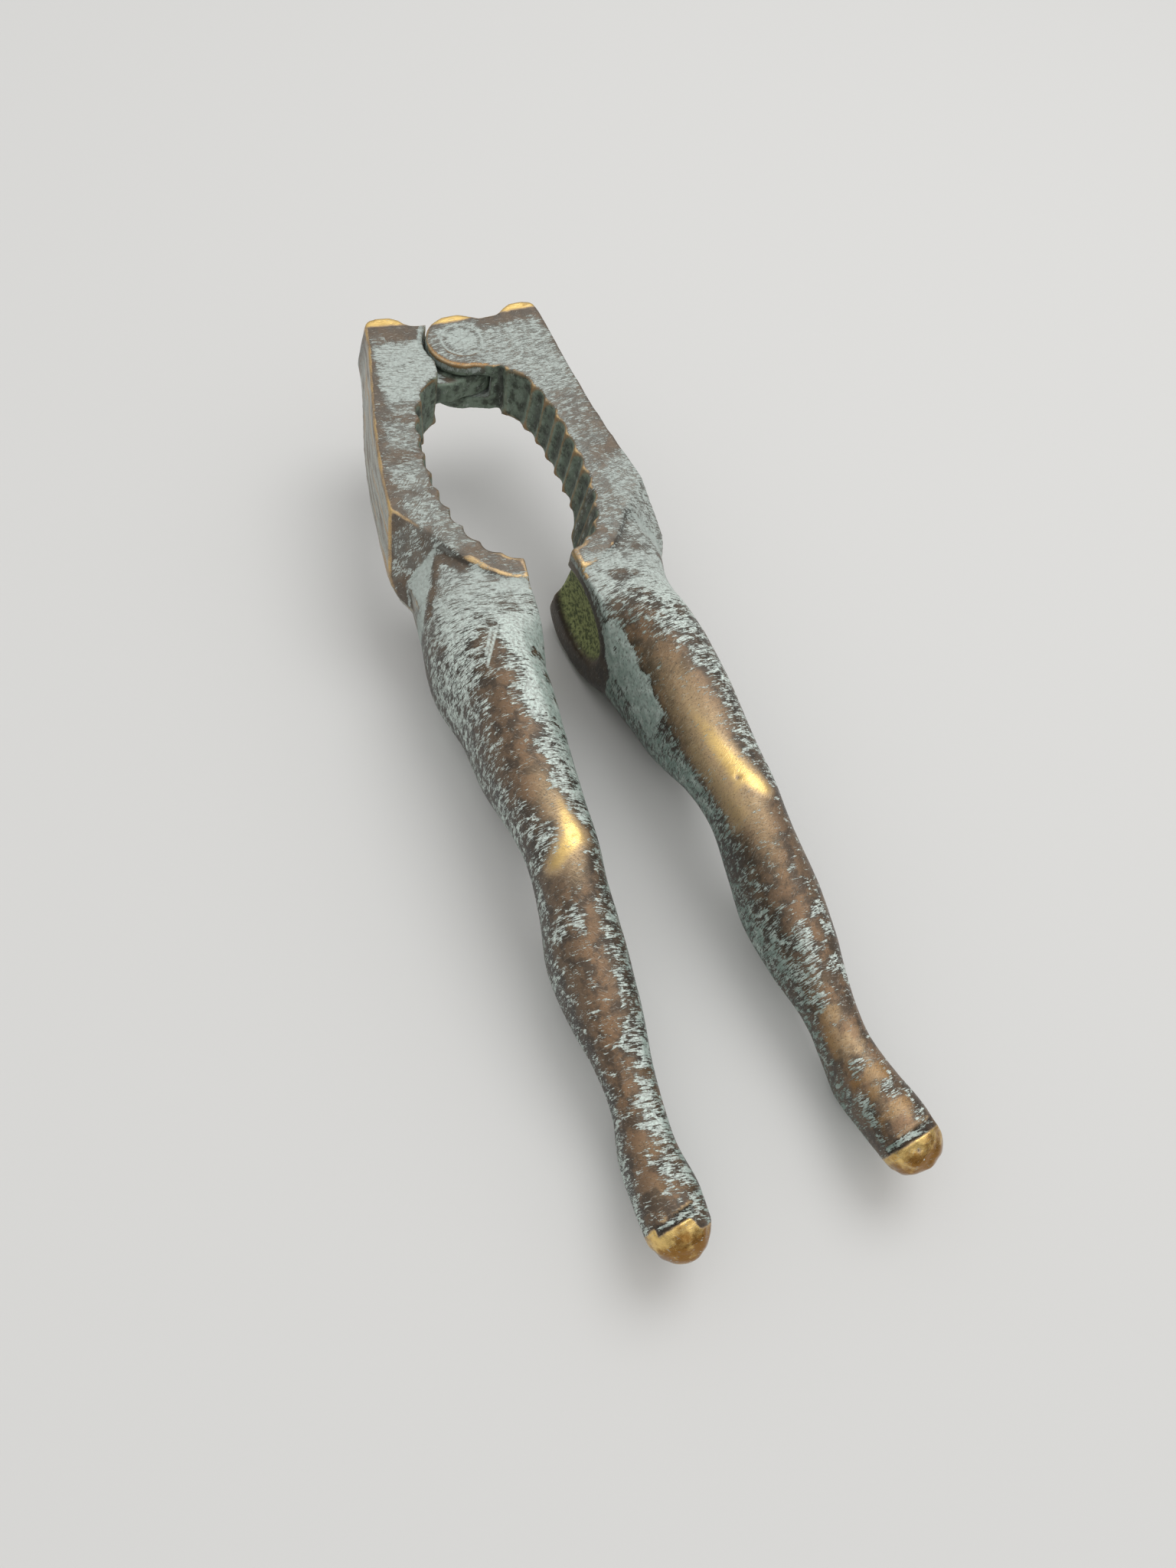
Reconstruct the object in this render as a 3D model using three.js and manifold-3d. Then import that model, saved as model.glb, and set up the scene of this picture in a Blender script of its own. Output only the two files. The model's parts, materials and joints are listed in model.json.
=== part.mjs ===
// Lady legs nutcracker: two cast bronze legs that turn on one rivet above a ridged nut opening.
// Each leg is drawn closed, as a right leg, with the hinge axis on Z at the origin, the flat front
// of the frame at z = 0 and the feet towards -Y. The left leg is its mirror image. Both are then
// swung open about the hinge and laid on their backs, resting on the seat and the heels.
import * as THREE from 'three';
import { mergeVertices } from 'three/addons/utils/BufferGeometryUtils.js';
import Module from 'manifold-3d';

const wasm = await Module();
wasm.setup();

// How far each leg stands open from the closed pose, in degrees. Lengths are in millimetres.
const OPEN_HALF_ANGLE = 4.6;

// Hinge: a fork on the right leg, a tongue on the left leg and a rivet through both
const ARM_DEPTH = 10;
const TONGUE_THICKNESS = 4.4;
const TONGUE_PLAY = 0.3;
const EAR_RADIUS = 6.2;
const EAR_ARC_START_DEGREES = 60;
const SHOULDER_GAP = 0.5;
const SLOT_ROOT_X = 3;
const RIVET_SHANK_RADIUS = 2.4;
const RIVET_HEAD_RADIUS = 3.1;
const RIVET_HEAD_DEPTH = 0.9;
const RIVET_GAP = 0.3;

// Nut opening in plan at the front face, the draft of its walls, and its ridges
const OPENING_BRIDGE = 1.1;
const OPENING_HALF_WIDTH = 10.7;
const OPENING_UPPER_LENGTH = 16.7;
const OPENING_LOWER_LENGTH = 23;
const OPENING_FULLNESS = { top: 0.77, upperSide: 0.72, lowerSide: 0.52, bottom: 0.75 };
const OPENING_DRAFT_DEGREES = 4.5;
const CROTCH_DRAFT_DEGREES = 10;
const RIDGE_PITCH = 3.9;
const RIDGE_HEIGHT = 0.8;
const RIDGE_START = 4;
const RIDGE_END_X = 2.5;

// Frame arm in plan at the front face: the top end, the outer edge and its draft
const TOP_VALLEY = [6.8, 4.3];
const TOP_BUMP = [12.2, 6.5];
const ARM_CORNER = [15.8, 4.2];
const ARM_WAIST = [16.4, -8];
const ARM_WIDTH = 6.8;
const ARM_DRAFT_DEGREES = 11;
const ARM_BACK_ROUND = 2;

// The two castings are finished by hand: each has its own outward bow of the arm and of the thigh
const LEFT_CASTING = { armBow: 1.2, thighBow: 2.7 };
const RIGHT_CASTING = { armBow: -1.2, thighBow: 0.5 };
const THIGH_BOW_BELOW_CROTCH = 10.5;
const THIGH_BOW_REACH = 15.5;

// Hip, in plan from the middle and from the crotch: the front face falls away to its corner
const LIP_WIDTH = 4;
const LIP_FULLNESS = { middle: 0.4, side: 0.8 };
const HIP_VEE = [12.2, 5];
const HIP_FACET_START = [17.9, 11];
const HIP_CORNER = [18.6, 1.2];
const HIP_CORNER_DROP = 8.5;
const HIP_NOTCH = [16.8, -2.2];

// Facet on the outer side of the thigh: its drop at the vee and two more of its points
const FLANK_VEE_DROP = 1.7;
const FLANK_RIDGE = [15.4, -1.8];
const FLANK_RIDGE_DROP = 3.3;
const FLANK_VALLEY = [17.5, 2.6];
const FLANK_VALLEY_DROP = 6.8;

// Flat inner faces of the thighs, and the oval hollow cast into each below the crotch
const MATING_GAP = 0.3;
const HOLLOW_BELOW_CROTCH = 5;
const HOLLOW_LEVEL = -10.8;
const HOLLOW_HALF_LENGTH = 9.2;
const HOLLOW_HALF_HEIGHT = 7;
const HOLLOW_DEPTH = 2.5;

// Leg sections from the hip down: step from the section above, inner and outer side, front,
// back and the level of the greatest width. The seat lies at the crotch.
const HIP_LENGTH = 17;
const LEG_SECTIONS = {
  flank: { step: 0, inner: 11.0, outer: 17.0, front: -4.0, back: -9.5, level: -7.0 },
  hip: { step: 8, inner: 1.0, outer: 18.6, front: -2.2, back: -17.0, level: -8.0 },
  seat: { step: 9, inner: -8.0, outer: 17.0, front: -1.0, back: -23.3, level: -7.0 },
  highThigh: { step: 7, inner: -5.5, outer: 15.0, front: 0.3, back: -23.2, level: -8.5 },
  thigh: { step: 9, inner: -0.4, outer: 14.8, front: 3.6, back: -22.2, level: -11.0 },
  midThigh: { step: 8, inner: 0.4, outer: 14.6, front: 4.6, back: -20.5, level: -8.5 },
  lowThigh: { step: 9, inner: 0.8, outer: 13.8, front: 4.2, back: -17.4, level: -6.5 },
  overKnee: { step: 9, inner: 1.2, outer: 12.4, front: 3.4, back: -11.0, level: -3.5 },
  knee: { step: 7, inner: 1.3, outer: 11.3, front: 4.5, back: -9.3, level: -2.5 },
  underKnee: { step: 6, inner: 1.3, outer: 10.9, front: 3.6, back: -12.0, level: -4.0 },
  calf: { step: 8, inner: 0.6, outer: 11.4, front: 1.8, back: -14.2, level: -6.5 },
  lowCalf: { step: 8, inner: 0.7, outer: 10.3, front: 0.4, back: -13.0, level: -6.5 },
  ankle: { step: 9, inner: 1.4, outer: 8.3, front: -1.8, back: -10.4, level: -6.0 },
  overHeel: { step: 5, inner: 1.4, outer: 7.9, front: -2.2, back: -11.8, level: -6.5 },
  heel: { step: 5, inner: 1.2, outer: 8.5, front: -1.6, back: -13.4, level: -6.5 },
  instep: { step: 5, inner: 0.5, outer: 8.8, front: 0.5, back: -9.6, level: -4.5 },
  ball: { step: 4.5, inner: 0.5, outer: 8.8, front: 1.5, back: -7.0, level: -2.8 },
};
const SECTION_FULLNESS = 2.3;
const TOE_CAP_LENGTH = 4;
const SHOE_LINE_ABOVE_BALL = 1.2;
const SHOE_LINE_WIDTH = 0.8;
const SHOE_LINE_DEPTH = 0.45;

// Facets
const SECTION_POINTS = 32;
const SECTION_STEP = 2;
const TOE_CAP_RINGS = 5;
const CURVE_STEPS = 8;
const RIDGE_FACETS = 6;
const ROUND_SEGMENTS = 40;

// Points closer than this are one point, and cutters reach this far past what they cut
const WELD_DISTANCE = 1e-4;
const CUT_REACH = 250;

const radians = THREE.MathUtils.degToRad;
const toVector = ([x, y]) => new THREE.Vector2(x, y);

// Heights of the hinge's layers, from the front face down
const earThickness = (ARM_DEPTH - TONGUE_THICKNESS) / 2 - TONGUE_PLAY;
const slotTop = -earThickness;
const slotBottom = earThickness - ARM_DEPTH;
const shoulderRadius = EAR_RADIUS + SHOULDER_GAP;

// Places along the frame
const openingTop = -EAR_RADIUS - OPENING_BRIDGE;
const openingMiddle = openingTop - OPENING_UPPER_LENGTH;
const crotch = openingMiddle - OPENING_LOWER_LENGTH;
const atHip = ([x, rise]) => [x, crotch + rise];

// A closed skin over rings of points, with a flat lid on the first and the last ring
function loft(rings, lidOutline) {
  const count = rings[0].length;
  const index = [];
  for (let ring = 0; ring + 1 < rings.length; ring++) {
    for (let side = 0; side < count; side++) {
      const next = (side + 1) % count;
      const low = ring * count;
      const high = low + count;
      index.push(low + side, low + next, high + next);
      index.push(low + side, high + next, high + side);
    }
  }
  const last = (rings.length - 1) * count;
  for (const [a, b, c] of THREE.ShapeUtils.triangulateShape(lidOutline, [])) {
    index.push(c, b, a);
    index.push(last + a, last + b, last + c);
  }
  const geometry = new THREE.BufferGeometry();
  geometry.setFromPoints(rings.flat());
  geometry.setIndex(index);
  return toSolid(geometry);
}

function toSolid(geometry) {
  const bare = geometry.clone();
  bare.deleteAttribute('normal');
  bare.deleteAttribute('uv');
  const merged = mergeVertices(bare, WELD_DISTANCE);
  return new wasm.Manifold(new wasm.Mesh({
    numProp: 3,
    vertProperties: new Float32Array(merged.attributes.position.array),
    triVerts: new Uint32Array(merged.index.array),
  }));
}

function toGeometry(solid) {
  const { vertProperties, triVerts } = solid.getMesh();
  const geometry = new THREE.BufferGeometry();
  geometry.setAttribute('position', new THREE.BufferAttribute(vertProperties, 3));
  geometry.setIndex(new THREE.BufferAttribute(triVerts, 1));
  return geometry;
}

// The mirror image in the plane x = 0, with its faces turned so that they still point out
function mirrored(geometry) {
  geometry.scale(-1, 1, 1);
  geometry.index.array.reverse();
  return geometry;
}

function named(name, geometry, material) {
  geometry.computeVertexNormals();
  const mesh = new THREE.Mesh(geometry, material);
  mesh.name = name;
  return mesh;
}

function box(min, max) {
  const size = max.clone().sub(min);
  const geometry = new THREE.BoxGeometry(size.x, size.y, size.z);
  geometry.translate(min.x + size.x / 2, min.y + size.y / 2, min.z + size.z / 2);
  return toSolid(geometry);
}

// A plan shape extruded between two heights
function plate(shape, bottom, top) {
  const geometry = new THREE.ExtrudeGeometry(shape, {
    depth: top - bottom,
    bevelEnabled: false,
    curveSegments: ROUND_SEGMENTS / 2,
  });
  geometry.translate(0, 0, bottom);
  return toSolid(geometry);
}

// A solid turned about the hinge axis, from a profile of radius and height
function turned(profile) {
  const geometry = new THREE.LatheGeometry(profile.map(toVector), ROUND_SEGMENTS);
  geometry.rotateX(Math.PI / 2);
  return toSolid(geometry);
}

// Sideways bow of an arm at a place along it
function bowAt(y, bow) {
  return bow * Math.sin(Math.PI * THREE.MathUtils.clamp(y / crotch, 0, 1));
}

// Outline of the arm before the opening is cut, anticlockwise from the lip at the middle
function armOutline(bow) {
  const lip = crotch - LIP_WIDTH;
  const vee = atHip(HIP_VEE);
  const shoulderTop = Math.asin(TOP_VALLEY[1] / shoulderRadius);
  const path = new THREE.Path();
  path.moveTo(0, lip);
  const { middle: nearMiddle, side } = LIP_FULLNESS;
  path.bezierCurveTo(vee[0] * nearMiddle, lip, vee[0] * side, (lip + vee[1]) / 2, ...vee);
  path.lineTo(...atHip(HIP_NOTCH));
  path.lineTo(...atHip(HIP_CORNER));
  const widest = [OPENING_HALF_WIDTH + ARM_WIDTH, openingMiddle];
  path.splineThru([widest, ARM_WAIST, ARM_CORNER].map(toVector));
  path.quadraticCurveTo(ARM_CORNER[0], TOP_BUMP[1], ...TOP_BUMP);
  const slope = (TOP_BUMP[0] + TOP_VALLEY[0]) / 2;
  path.bezierCurveTo(slope, TOP_BUMP[1], slope, TOP_VALLEY[1], ...TOP_VALLEY);
  path.absarc(0, 0, shoulderRadius, shoulderTop, -shoulderTop, true);
  path.lineTo(shoulderRadius * Math.cos(shoulderTop), openingMiddle);
  path.lineTo(0, openingMiddle);
  return path.getPoints(CURVE_STEPS).map(({ x, y }) => (
    new THREE.Vector2(x > 0 ? x + bowAt(y, bow) : x, y)
  ));
}

// The arm as a drafted casting: it widens towards the back, where its edge is rounded off
function armBlank(bow) {
  const outline = armOutline(bow);
  const flare = Math.tan(radians(ARM_DRAFT_DEGREES)) * (ARM_DEPTH - ARM_BACK_ROUND);
  const levels = [
    { z: -ARM_DEPTH, width: 1 },
    { z: ARM_BACK_ROUND - ARM_DEPTH, width: 1 + flare / (OPENING_HALF_WIDTH + ARM_WIDTH) },
    { z: 0, width: 1 },
  ];
  const rings = levels.map(({ z, width }) => (
    outline.map(({ x, y }) => new THREE.Vector3(x * width, y, z))
  ));
  return loft(rings, outline).subtract(hipFacetCutter());
}

// Everything beyond the plane through three points, seen anticlockwise from there
function beyondPlane(first, second, third) {
  const normal = second.sub(first).cross(third.sub(first)).normalize();
  const forward = new THREE.Vector3(0, 0, 1);
  const geometry = new THREE.BoxGeometry(CUT_REACH, CUT_REACH, CUT_REACH);
  geometry.translate(0, 0, CUT_REACH / 2);
  geometry.applyQuaternion(new THREE.Quaternion().setFromUnitVectors(forward, normal));
  geometry.translate(first.x, first.y, first.z);
  return toSolid(geometry);
}

// In front of the plane through the vee, the arm's edge and the dropped hip corner, clear of the lip
function hipFacetCutter() {
  const vee = new THREE.Vector3(...atHip(HIP_VEE), 0);
  const start = new THREE.Vector3(...atHip(HIP_FACET_START), 0);
  const corner = new THREE.Vector3(...atHip(HIP_CORNER), -HIP_CORNER_DROP);
  const outside = box(
    new THREE.Vector3(HIP_VEE[0], -CUT_REACH, -CUT_REACH),
    new THREE.Vector3(CUT_REACH, CUT_REACH, CUT_REACH),
  );
  return beyondPlane(vee, corner, start).intersect(outside);
}

// Outside the plane that falls from the vee down the outer side of the thigh
function flankCutter() {
  const vee = new THREE.Vector3(...atHip(HIP_VEE), -FLANK_VEE_DROP);
  const ridge = new THREE.Vector3(...atHip(FLANK_RIDGE), -FLANK_RIDGE_DROP);
  const valley = new THREE.Vector3(...atHip(FLANK_VALLEY), -FLANK_VALLEY_DROP);
  return beyondPlane(vee, ridge, valley);
}

// Wall of half the nut opening in plan, from the hinge end to the crotch
function openingWall() {
  const { top, upperSide, lowerSide, bottom } = OPENING_FULLNESS;
  const widest = new THREE.Vector2(OPENING_HALF_WIDTH, openingMiddle);
  const wall = new THREE.CurvePath();
  wall.add(new THREE.CubicBezierCurve(
    new THREE.Vector2(0, openingTop),
    new THREE.Vector2(OPENING_HALF_WIDTH * top, openingTop),
    new THREE.Vector2(OPENING_HALF_WIDTH, openingMiddle + OPENING_UPPER_LENGTH * upperSide),
    widest,
  ));
  wall.add(new THREE.CubicBezierCurve(
    widest,
    new THREE.Vector2(OPENING_HALF_WIDTH, openingMiddle - OPENING_LOWER_LENGTH * lowerSide),
    new THREE.Vector2(OPENING_HALF_WIDTH * bottom, crotch),
    new THREE.Vector2(0, crotch),
  ));
  return wall;
}

// Half of the nut opening: ridges run through its depth and its walls close in towards the back
function openingCutter(bow) {
  const wall = openingWall();
  const count = Math.round(wall.getLength() / RIDGE_PITCH) * RIDGE_FACETS;
  const samples = [];
  for (let i = 0; i <= count; i++) {
    const place = wall.getPointAt(i / count);
    const along = wall.getTangentAt(i / count);
    const inward = new THREE.Vector2(along.y, -along.x);
    const ridged = place.y < openingTop - RIDGE_START && place.x > RIDGE_END_X;
    const crest = 1 - Math.abs(Math.sin((Math.PI * i) / RIDGE_FACETS));
    place.addScaledVector(inward, ridged ? RIDGE_HEIGHT * crest : 0);
    place.x += bowAt(place.y, bow);
    samples.push({ place, inward });
  }
  const sideDraft = Math.tan(radians(OPENING_DRAFT_DEGREES));
  const crotchDraft = Math.tan(radians(CROTCH_DRAFT_DEGREES));
  const outlineAt = (z) => {
    const side = samples.map(({ place, inward }) => new THREE.Vector2(
      place.x - z * sideDraft * inward.x,
      place.y - z * (inward.y > 0 ? crotchDraft : sideDraft) * inward.y,
    ));
    const first = new THREE.Vector2(-OPENING_HALF_WIDTH, side[0].y);
    const last = new THREE.Vector2(-OPENING_HALF_WIDTH, side[count].y);
    return [last, ...side.reverse(), first];
  };
  const heights = [LEG_SECTIONS.seat.back - ARM_DEPTH, ARM_DEPTH];
  const rings = heights.map((z) => outlineAt(z).map(({ x, y }) => new THREE.Vector3(x, y, z)));
  return loft(rings, outlineAt(0));
}

// A round lug about the hinge axis that grows out of the arm: an ear or the tongue
function lugShape() {
  const shape = new THREE.Shape();
  shape.moveTo(...TOP_VALLEY);
  shape.absarc(0, 0, EAR_RADIUS, radians(EAR_ARC_START_DEGREES), radians(270), false);
  shape.lineTo(SLOT_ROOT_X, openingTop);
  shape.lineTo(OPENING_HALF_WIDTH, openingTop);
  shape.lineTo(TOP_BUMP[0], 0);
  return shape;
}

// Clear space for the tongue between the two ears: open at the top, where the tongue swings in
function slotCutter() {
  const round = turned([
    [0, slotBottom],
    [shoulderRadius, slotBottom],
    [shoulderRadius, slotTop],
    [0, slotTop],
  ]);
  const topSide = box(
    new THREE.Vector3(-CUT_REACH, 0, slotBottom),
    new THREE.Vector3(shoulderRadius, CUT_REACH, slotTop),
  );
  const openingSide = box(
    new THREE.Vector3(-CUT_REACH, openingMiddle, slotBottom),
    new THREE.Vector3(SLOT_ROOT_X, 0, slotTop),
  );
  return round.add(topSide).add(openingSide);
}

// The rivet with its two countersunk heads peened flush, or its hole when grown by a gap
function rivet(gap) {
  const shank = RIVET_SHANK_RADIUS + gap;
  const head = RIVET_HEAD_RADIUS + gap;
  const depth = RIVET_HEAD_DEPTH + gap;
  return turned([
    [0, -ARM_DEPTH - gap],
    [head + gap, -ARM_DEPTH - gap],
    [shank, depth - ARM_DEPTH],
    [shank, -depth],
    [head + gap, gap],
    [0, gap],
  ]);
}

// Sizes of the leg at any distance along it, by a smooth curve through its sections
let reached = -crotch - HIP_LENGTH;
const sections = Object.values(LEG_SECTIONS).map((section) => {
  reached += section.step;
  return { ...section, along: reached };
});
const sizes = sections.map(({ inner, outer, front, back, level }) => [inner, outer, front, back, level]);
const alongs = sections.map(({ along }) => along);
const sectionCurve = new THREE.CubicInterpolant(alongs, sizes.flat(), sizes[0].length);
const ballAlong = alongs[alongs.length - 1];

// Outward bow of a thigh at a distance along the leg
function thighBowAt(along, bow) {
  const share = (along + crotch - THIGH_BOW_BELOW_CROTCH) / THIGH_BOW_REACH;
  return bow * Math.cos((Math.PI / 2) * THREE.MathUtils.clamp(share, -1, 1)) ** 2;
}

// One ring of the leg, drawn in towards its middle by a scale and sunk at the front by a dip
function legRing({ along, bow, y = -along, scale = 1, dip = 0 }) {
  const [inner, straight, front, back, level] = sectionCurve.evaluate(along);
  const outer = straight + thighBowAt(along, bow);
  const power = 2 / SECTION_FULLNESS;
  const ring = [];
  for (let i = 0; i < SECTION_POINTS; i++) {
    const angle = (2 * Math.PI * i) / SECTION_POINTS;
    const across = Math.sign(Math.cos(angle)) * Math.abs(Math.cos(angle)) ** power;
    const up = Math.sign(Math.sin(angle)) * Math.abs(Math.sin(angle)) ** power;
    const x = (inner + outer) / 2 + (scale * across * (outer - inner)) / 2;
    const z = level + scale * up * (up > 0 ? front - level : level - back) - dip * Math.max(up, 0);
    ring.push(new THREE.Vector3(x, y, z));
  }
  return ring;
}

// The leg from the hip to the toes, with the line of the shoe's edge and a rounded toe cap
function legLoft(bow) {
  const start = sections[0].along;
  const shoeLine = ballAlong - SHOE_LINE_ABOVE_BALL;
  const steps = Math.round((ballAlong - start) / SECTION_STEP);
  const even = Array.from({ length: steps + 1 }, (_, i) => start + ((ballAlong - start) * i) / steps);
  const line = [-1, -0.5, 0, 0.5, 1].map((share) => shoeLine + share * SHOE_LINE_WIDTH);
  const places = even
    .filter((along) => Math.abs(along - shoeLine) > SHOE_LINE_WIDTH)
    .concat(line)
    .sort((a, b) => a - b);
  const rings = places.map((along) => {
    const share = Math.min(Math.abs(along - shoeLine) / SHOE_LINE_WIDTH, 1);
    return legRing({ along, bow, dip: SHOE_LINE_DEPTH * (1 - share) });
  });
  for (let i = 1; i < TOE_CAP_RINGS; i++) {
    const turn = (Math.PI / 2) * (i / TOE_CAP_RINGS);
    const y = -ballAlong - TOE_CAP_LENGTH * Math.sin(turn);
    rings.push(legRing({ along: ballAlong, bow, y, scale: Math.cos(turn) }));
  }
  return loft(rings, rings[0].map(({ x, z }) => new THREE.Vector2(x, z)));
}

// The shallow oval in the flat inner face of the thigh
function hollowCutter() {
  const geometry = new THREE.SphereGeometry(1, ROUND_SEGMENTS / 2, ROUND_SEGMENTS / 4);
  geometry.scale(HOLLOW_DEPTH, HOLLOW_HALF_LENGTH, HOLLOW_HALF_HEIGHT);
  geometry.translate(MATING_GAP / 2, crotch - HOLLOW_BELOW_CROTCH, HOLLOW_LEVEL);
  return toSolid(geometry);
}

// One leg, closed and right-handed, with its own hinge end added and cut
function legSolid({ armBow, thighBow }, hingeEnd, hingeCut) {
  const beyond = new THREE.Vector3(-CUT_REACH, -CUT_REACH, -CUT_REACH);
  const mating = new THREE.Vector3(MATING_GAP / 2, openingMiddle, CUT_REACH);
  return armBlank(armBow)
    .add(legLoft(thighBow).subtract(flankCutter()))
    .subtract(box(beyond, mating))
    .add(hingeEnd)
    .subtract(openingCutter(armBow))
    .subtract(hingeCut)
    .subtract(hollowCutter());
}

const bronze = new THREE.MeshStandardMaterial({ color: 0x7d6650, roughness: 0.45, metalness: 0.9 });
const wornBrass = new THREE.MeshStandardMaterial({ color: 0x8f8672, roughness: 0.5, metalness: 0.8 });

const rivetHole = rivet(RIVET_GAP);
const fork = plate(lugShape(), -ARM_DEPTH, 0);
const tongue = plate(lugShape(), slotBottom + TONGUE_PLAY, slotTop - TONGUE_PLAY);
const rightSolid = legSolid(RIGHT_CASTING, fork, slotCutter().add(rivetHole));
const leftSolid = legSolid(LEFT_CASTING, tongue, rivetHole);

const rightLeg = new THREE.Group();
rightLeg.add(named('right_leg', toGeometry(rightSolid), bronze));
rightLeg.add(named('hinge_rivet', toGeometry(rivet(0)), wornBrass));
rightLeg.rotation.z = radians(OPEN_HALF_ANGLE);

const leftLeg = new THREE.Group();
leftLeg.add(named('left_leg', mirrored(toGeometry(leftSolid)), bronze));
leftLeg.rotation.z = -radians(OPEN_HALF_ANGLE);

// Tilt that brings the back of the seat or the thigh down to the table beside the heel
const heel = sections[Object.keys(LEG_SECTIONS).indexOf('heel')];
const tilts = sections
  .filter(({ along }) => along < heel.along)
  .map(({ along, back }) => Math.atan2(heel.back - back, heel.along - along));

const laidBack = new THREE.Group();
laidBack.add(rightLeg, leftLeg);
laidBack.rotation.x = Math.max(...tilts);

// The origin is on the table under the middle of the whole
const nutcracker = new THREE.Group();
nutcracker.add(laidBack);
const extent = new THREE.Box3().setFromObject(nutcracker, true);
const middle = extent.getCenter(new THREE.Vector3());
laidBack.position.set(-middle.x, -middle.y, -extent.min.z);

export default nutcracker;
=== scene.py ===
"""Looks of the lady legs nutcracker: worn, patinated bronze castings on a pale table."""

import json
import math
from types import SimpleNamespace

import bmesh
import bpy
import numpy as np
from mathutils import Matrix, Quaternion, Vector


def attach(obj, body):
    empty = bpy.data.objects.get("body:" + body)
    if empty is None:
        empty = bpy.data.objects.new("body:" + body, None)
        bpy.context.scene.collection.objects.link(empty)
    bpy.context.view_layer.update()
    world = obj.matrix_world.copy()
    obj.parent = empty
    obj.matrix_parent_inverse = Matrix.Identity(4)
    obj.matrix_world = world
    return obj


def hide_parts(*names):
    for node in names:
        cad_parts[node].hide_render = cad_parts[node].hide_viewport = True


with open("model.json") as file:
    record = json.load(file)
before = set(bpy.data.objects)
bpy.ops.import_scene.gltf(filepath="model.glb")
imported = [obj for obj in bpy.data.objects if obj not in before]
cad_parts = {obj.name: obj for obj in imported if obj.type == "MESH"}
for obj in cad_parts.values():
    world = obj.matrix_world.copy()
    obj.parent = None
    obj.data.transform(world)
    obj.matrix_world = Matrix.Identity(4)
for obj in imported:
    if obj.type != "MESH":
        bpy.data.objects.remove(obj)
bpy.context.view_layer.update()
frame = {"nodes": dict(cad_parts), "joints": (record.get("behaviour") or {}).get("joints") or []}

# The legs' own frame: millimetres, closed, right-handed, hinge axis on Z, front face at z = 0.
# A place on a leg is given by x, away from the other leg, and by its distance along the leg.
MM = 0.001
RIGHT, LEFT = 1, -1
ARM_DEPTH = 10.0
OPEN_HALF_ANGLE = 4.6
OPENING_MIDDLE = 24.0
CROTCH = 47.0

# Camera in the hinge's frame, in millimetres
CAMERA_PLACE = (-54.723, -152.535, 144.523)
CAMERA_TURN = (0.956645, 0.22448, -0.114367, -0.146148)
CAMERA_LENS = 27.053
CAMERA_NEAR = 0.005
SENSOR = 36.0

# Table and light, in metres and watts
TABLE_HALF = 3
TABLE_ROUGHNESS = 0.7
KEY_PLACE, KEY_AIM = (0.26, 0.14, 0.66), (0.0, 0.0, 0.0)
KEY_SIZE, KEY_POWER = 0.5, 1.4
SKY = (1.0, 0.995, 0.985)
ZENITH = 1.06
HORIZON = 0.26

# Colours, linear
BROWN = (0.184, 0.129, 0.084)
BROWN_DARK = (0.082, 0.064, 0.048)
COPPER = (0.310, 0.185, 0.100)
AGED = (0.150, 0.128, 0.104)
GILT = (0.480, 0.342, 0.196)
BRASS = (0.840, 0.590, 0.220)
AMBER = (0.300, 0.150, 0.038)
ORANGE = (0.390, 0.205, 0.062)
PALE = (0.710, 0.815, 0.755)
PALE_GREY = (0.470, 0.505, 0.470)
FILM = (0.400, 0.440, 0.415)
TEAL = (0.235, 0.320, 0.280)
VERDIGRIS = (0.215, 0.275, 0.212)
VERDIGRIS_DARK = (0.058, 0.072, 0.052)
MOSS = (0.410, 0.450, 0.200)
MOSS_DARK = (0.095, 0.115, 0.055)
DIRT = (0.052, 0.047, 0.040)
# Near-black, for grime and for painted shade on the shanks' sides, under the lip and deep between the legs
GRIME_AND_SHADE = (0.022, 0.020, 0.018)
CREST = (0.310, 0.180, 0.075)
FLOOR = (0.69, 0.688, 0.677)


# Soft masks: a pair of numbers is where a mask starts and where it is full, and a third is how
# far it fades outside them
def grow(value, low, high):
    """0 up to low, 1 from high on."""
    share = np.clip((value - low) / (high - low), 0.0, 1.0)
    return share * share * (3.0 - 2.0 * share)


def fade(value, low, high):
    """1 up to low, 0 from high on."""
    return 1.0 - grow(value, low, high)


def band(value, low, high, soft):
    """1 between low and high, fading over soft outside them."""
    return grow(value, low - soft, low) * fade(value, high, high + soft)


# Frames of the hinge and of each closed leg
hinge = frame["joints"][0]
hinge_z = -Vector(hinge["axis"]).normalized()
hinge_x = Vector((1.0, 0.0, 0.0))
hinge_y = hinge_z.cross(hinge_x)
HINGE = Matrix((hinge_x, hinge_y, hinge_z)).transposed().to_4x4()
HINGE.translation = Vector(hinge["pos_m"]) + hinge_z * (ARM_DEPTH / 2 * MM)


def leg_frame(side):
    """Closed-leg millimetres to the row frame."""
    opened = Matrix.Rotation(math.radians(OPEN_HALF_ANGLE) * side, 4, "Z")
    return HINGE @ opened @ Matrix.Diagonal((MM * side, MM, MM, 1.0))


# Mesh of a leg: size of its faces, weld distance, and steps and rates of smoothing
VOXEL = 0.33
WELD = 1e-3
LEG_SMOOTHING = 45
HIP_SMOOTHING = 24
FRAME_SMOOTHING = 5
TOP_SMOOTHING = 26
CAP_SMOOTHING = 14
SHRINK, SWELL = 0.5, 0.53


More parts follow.
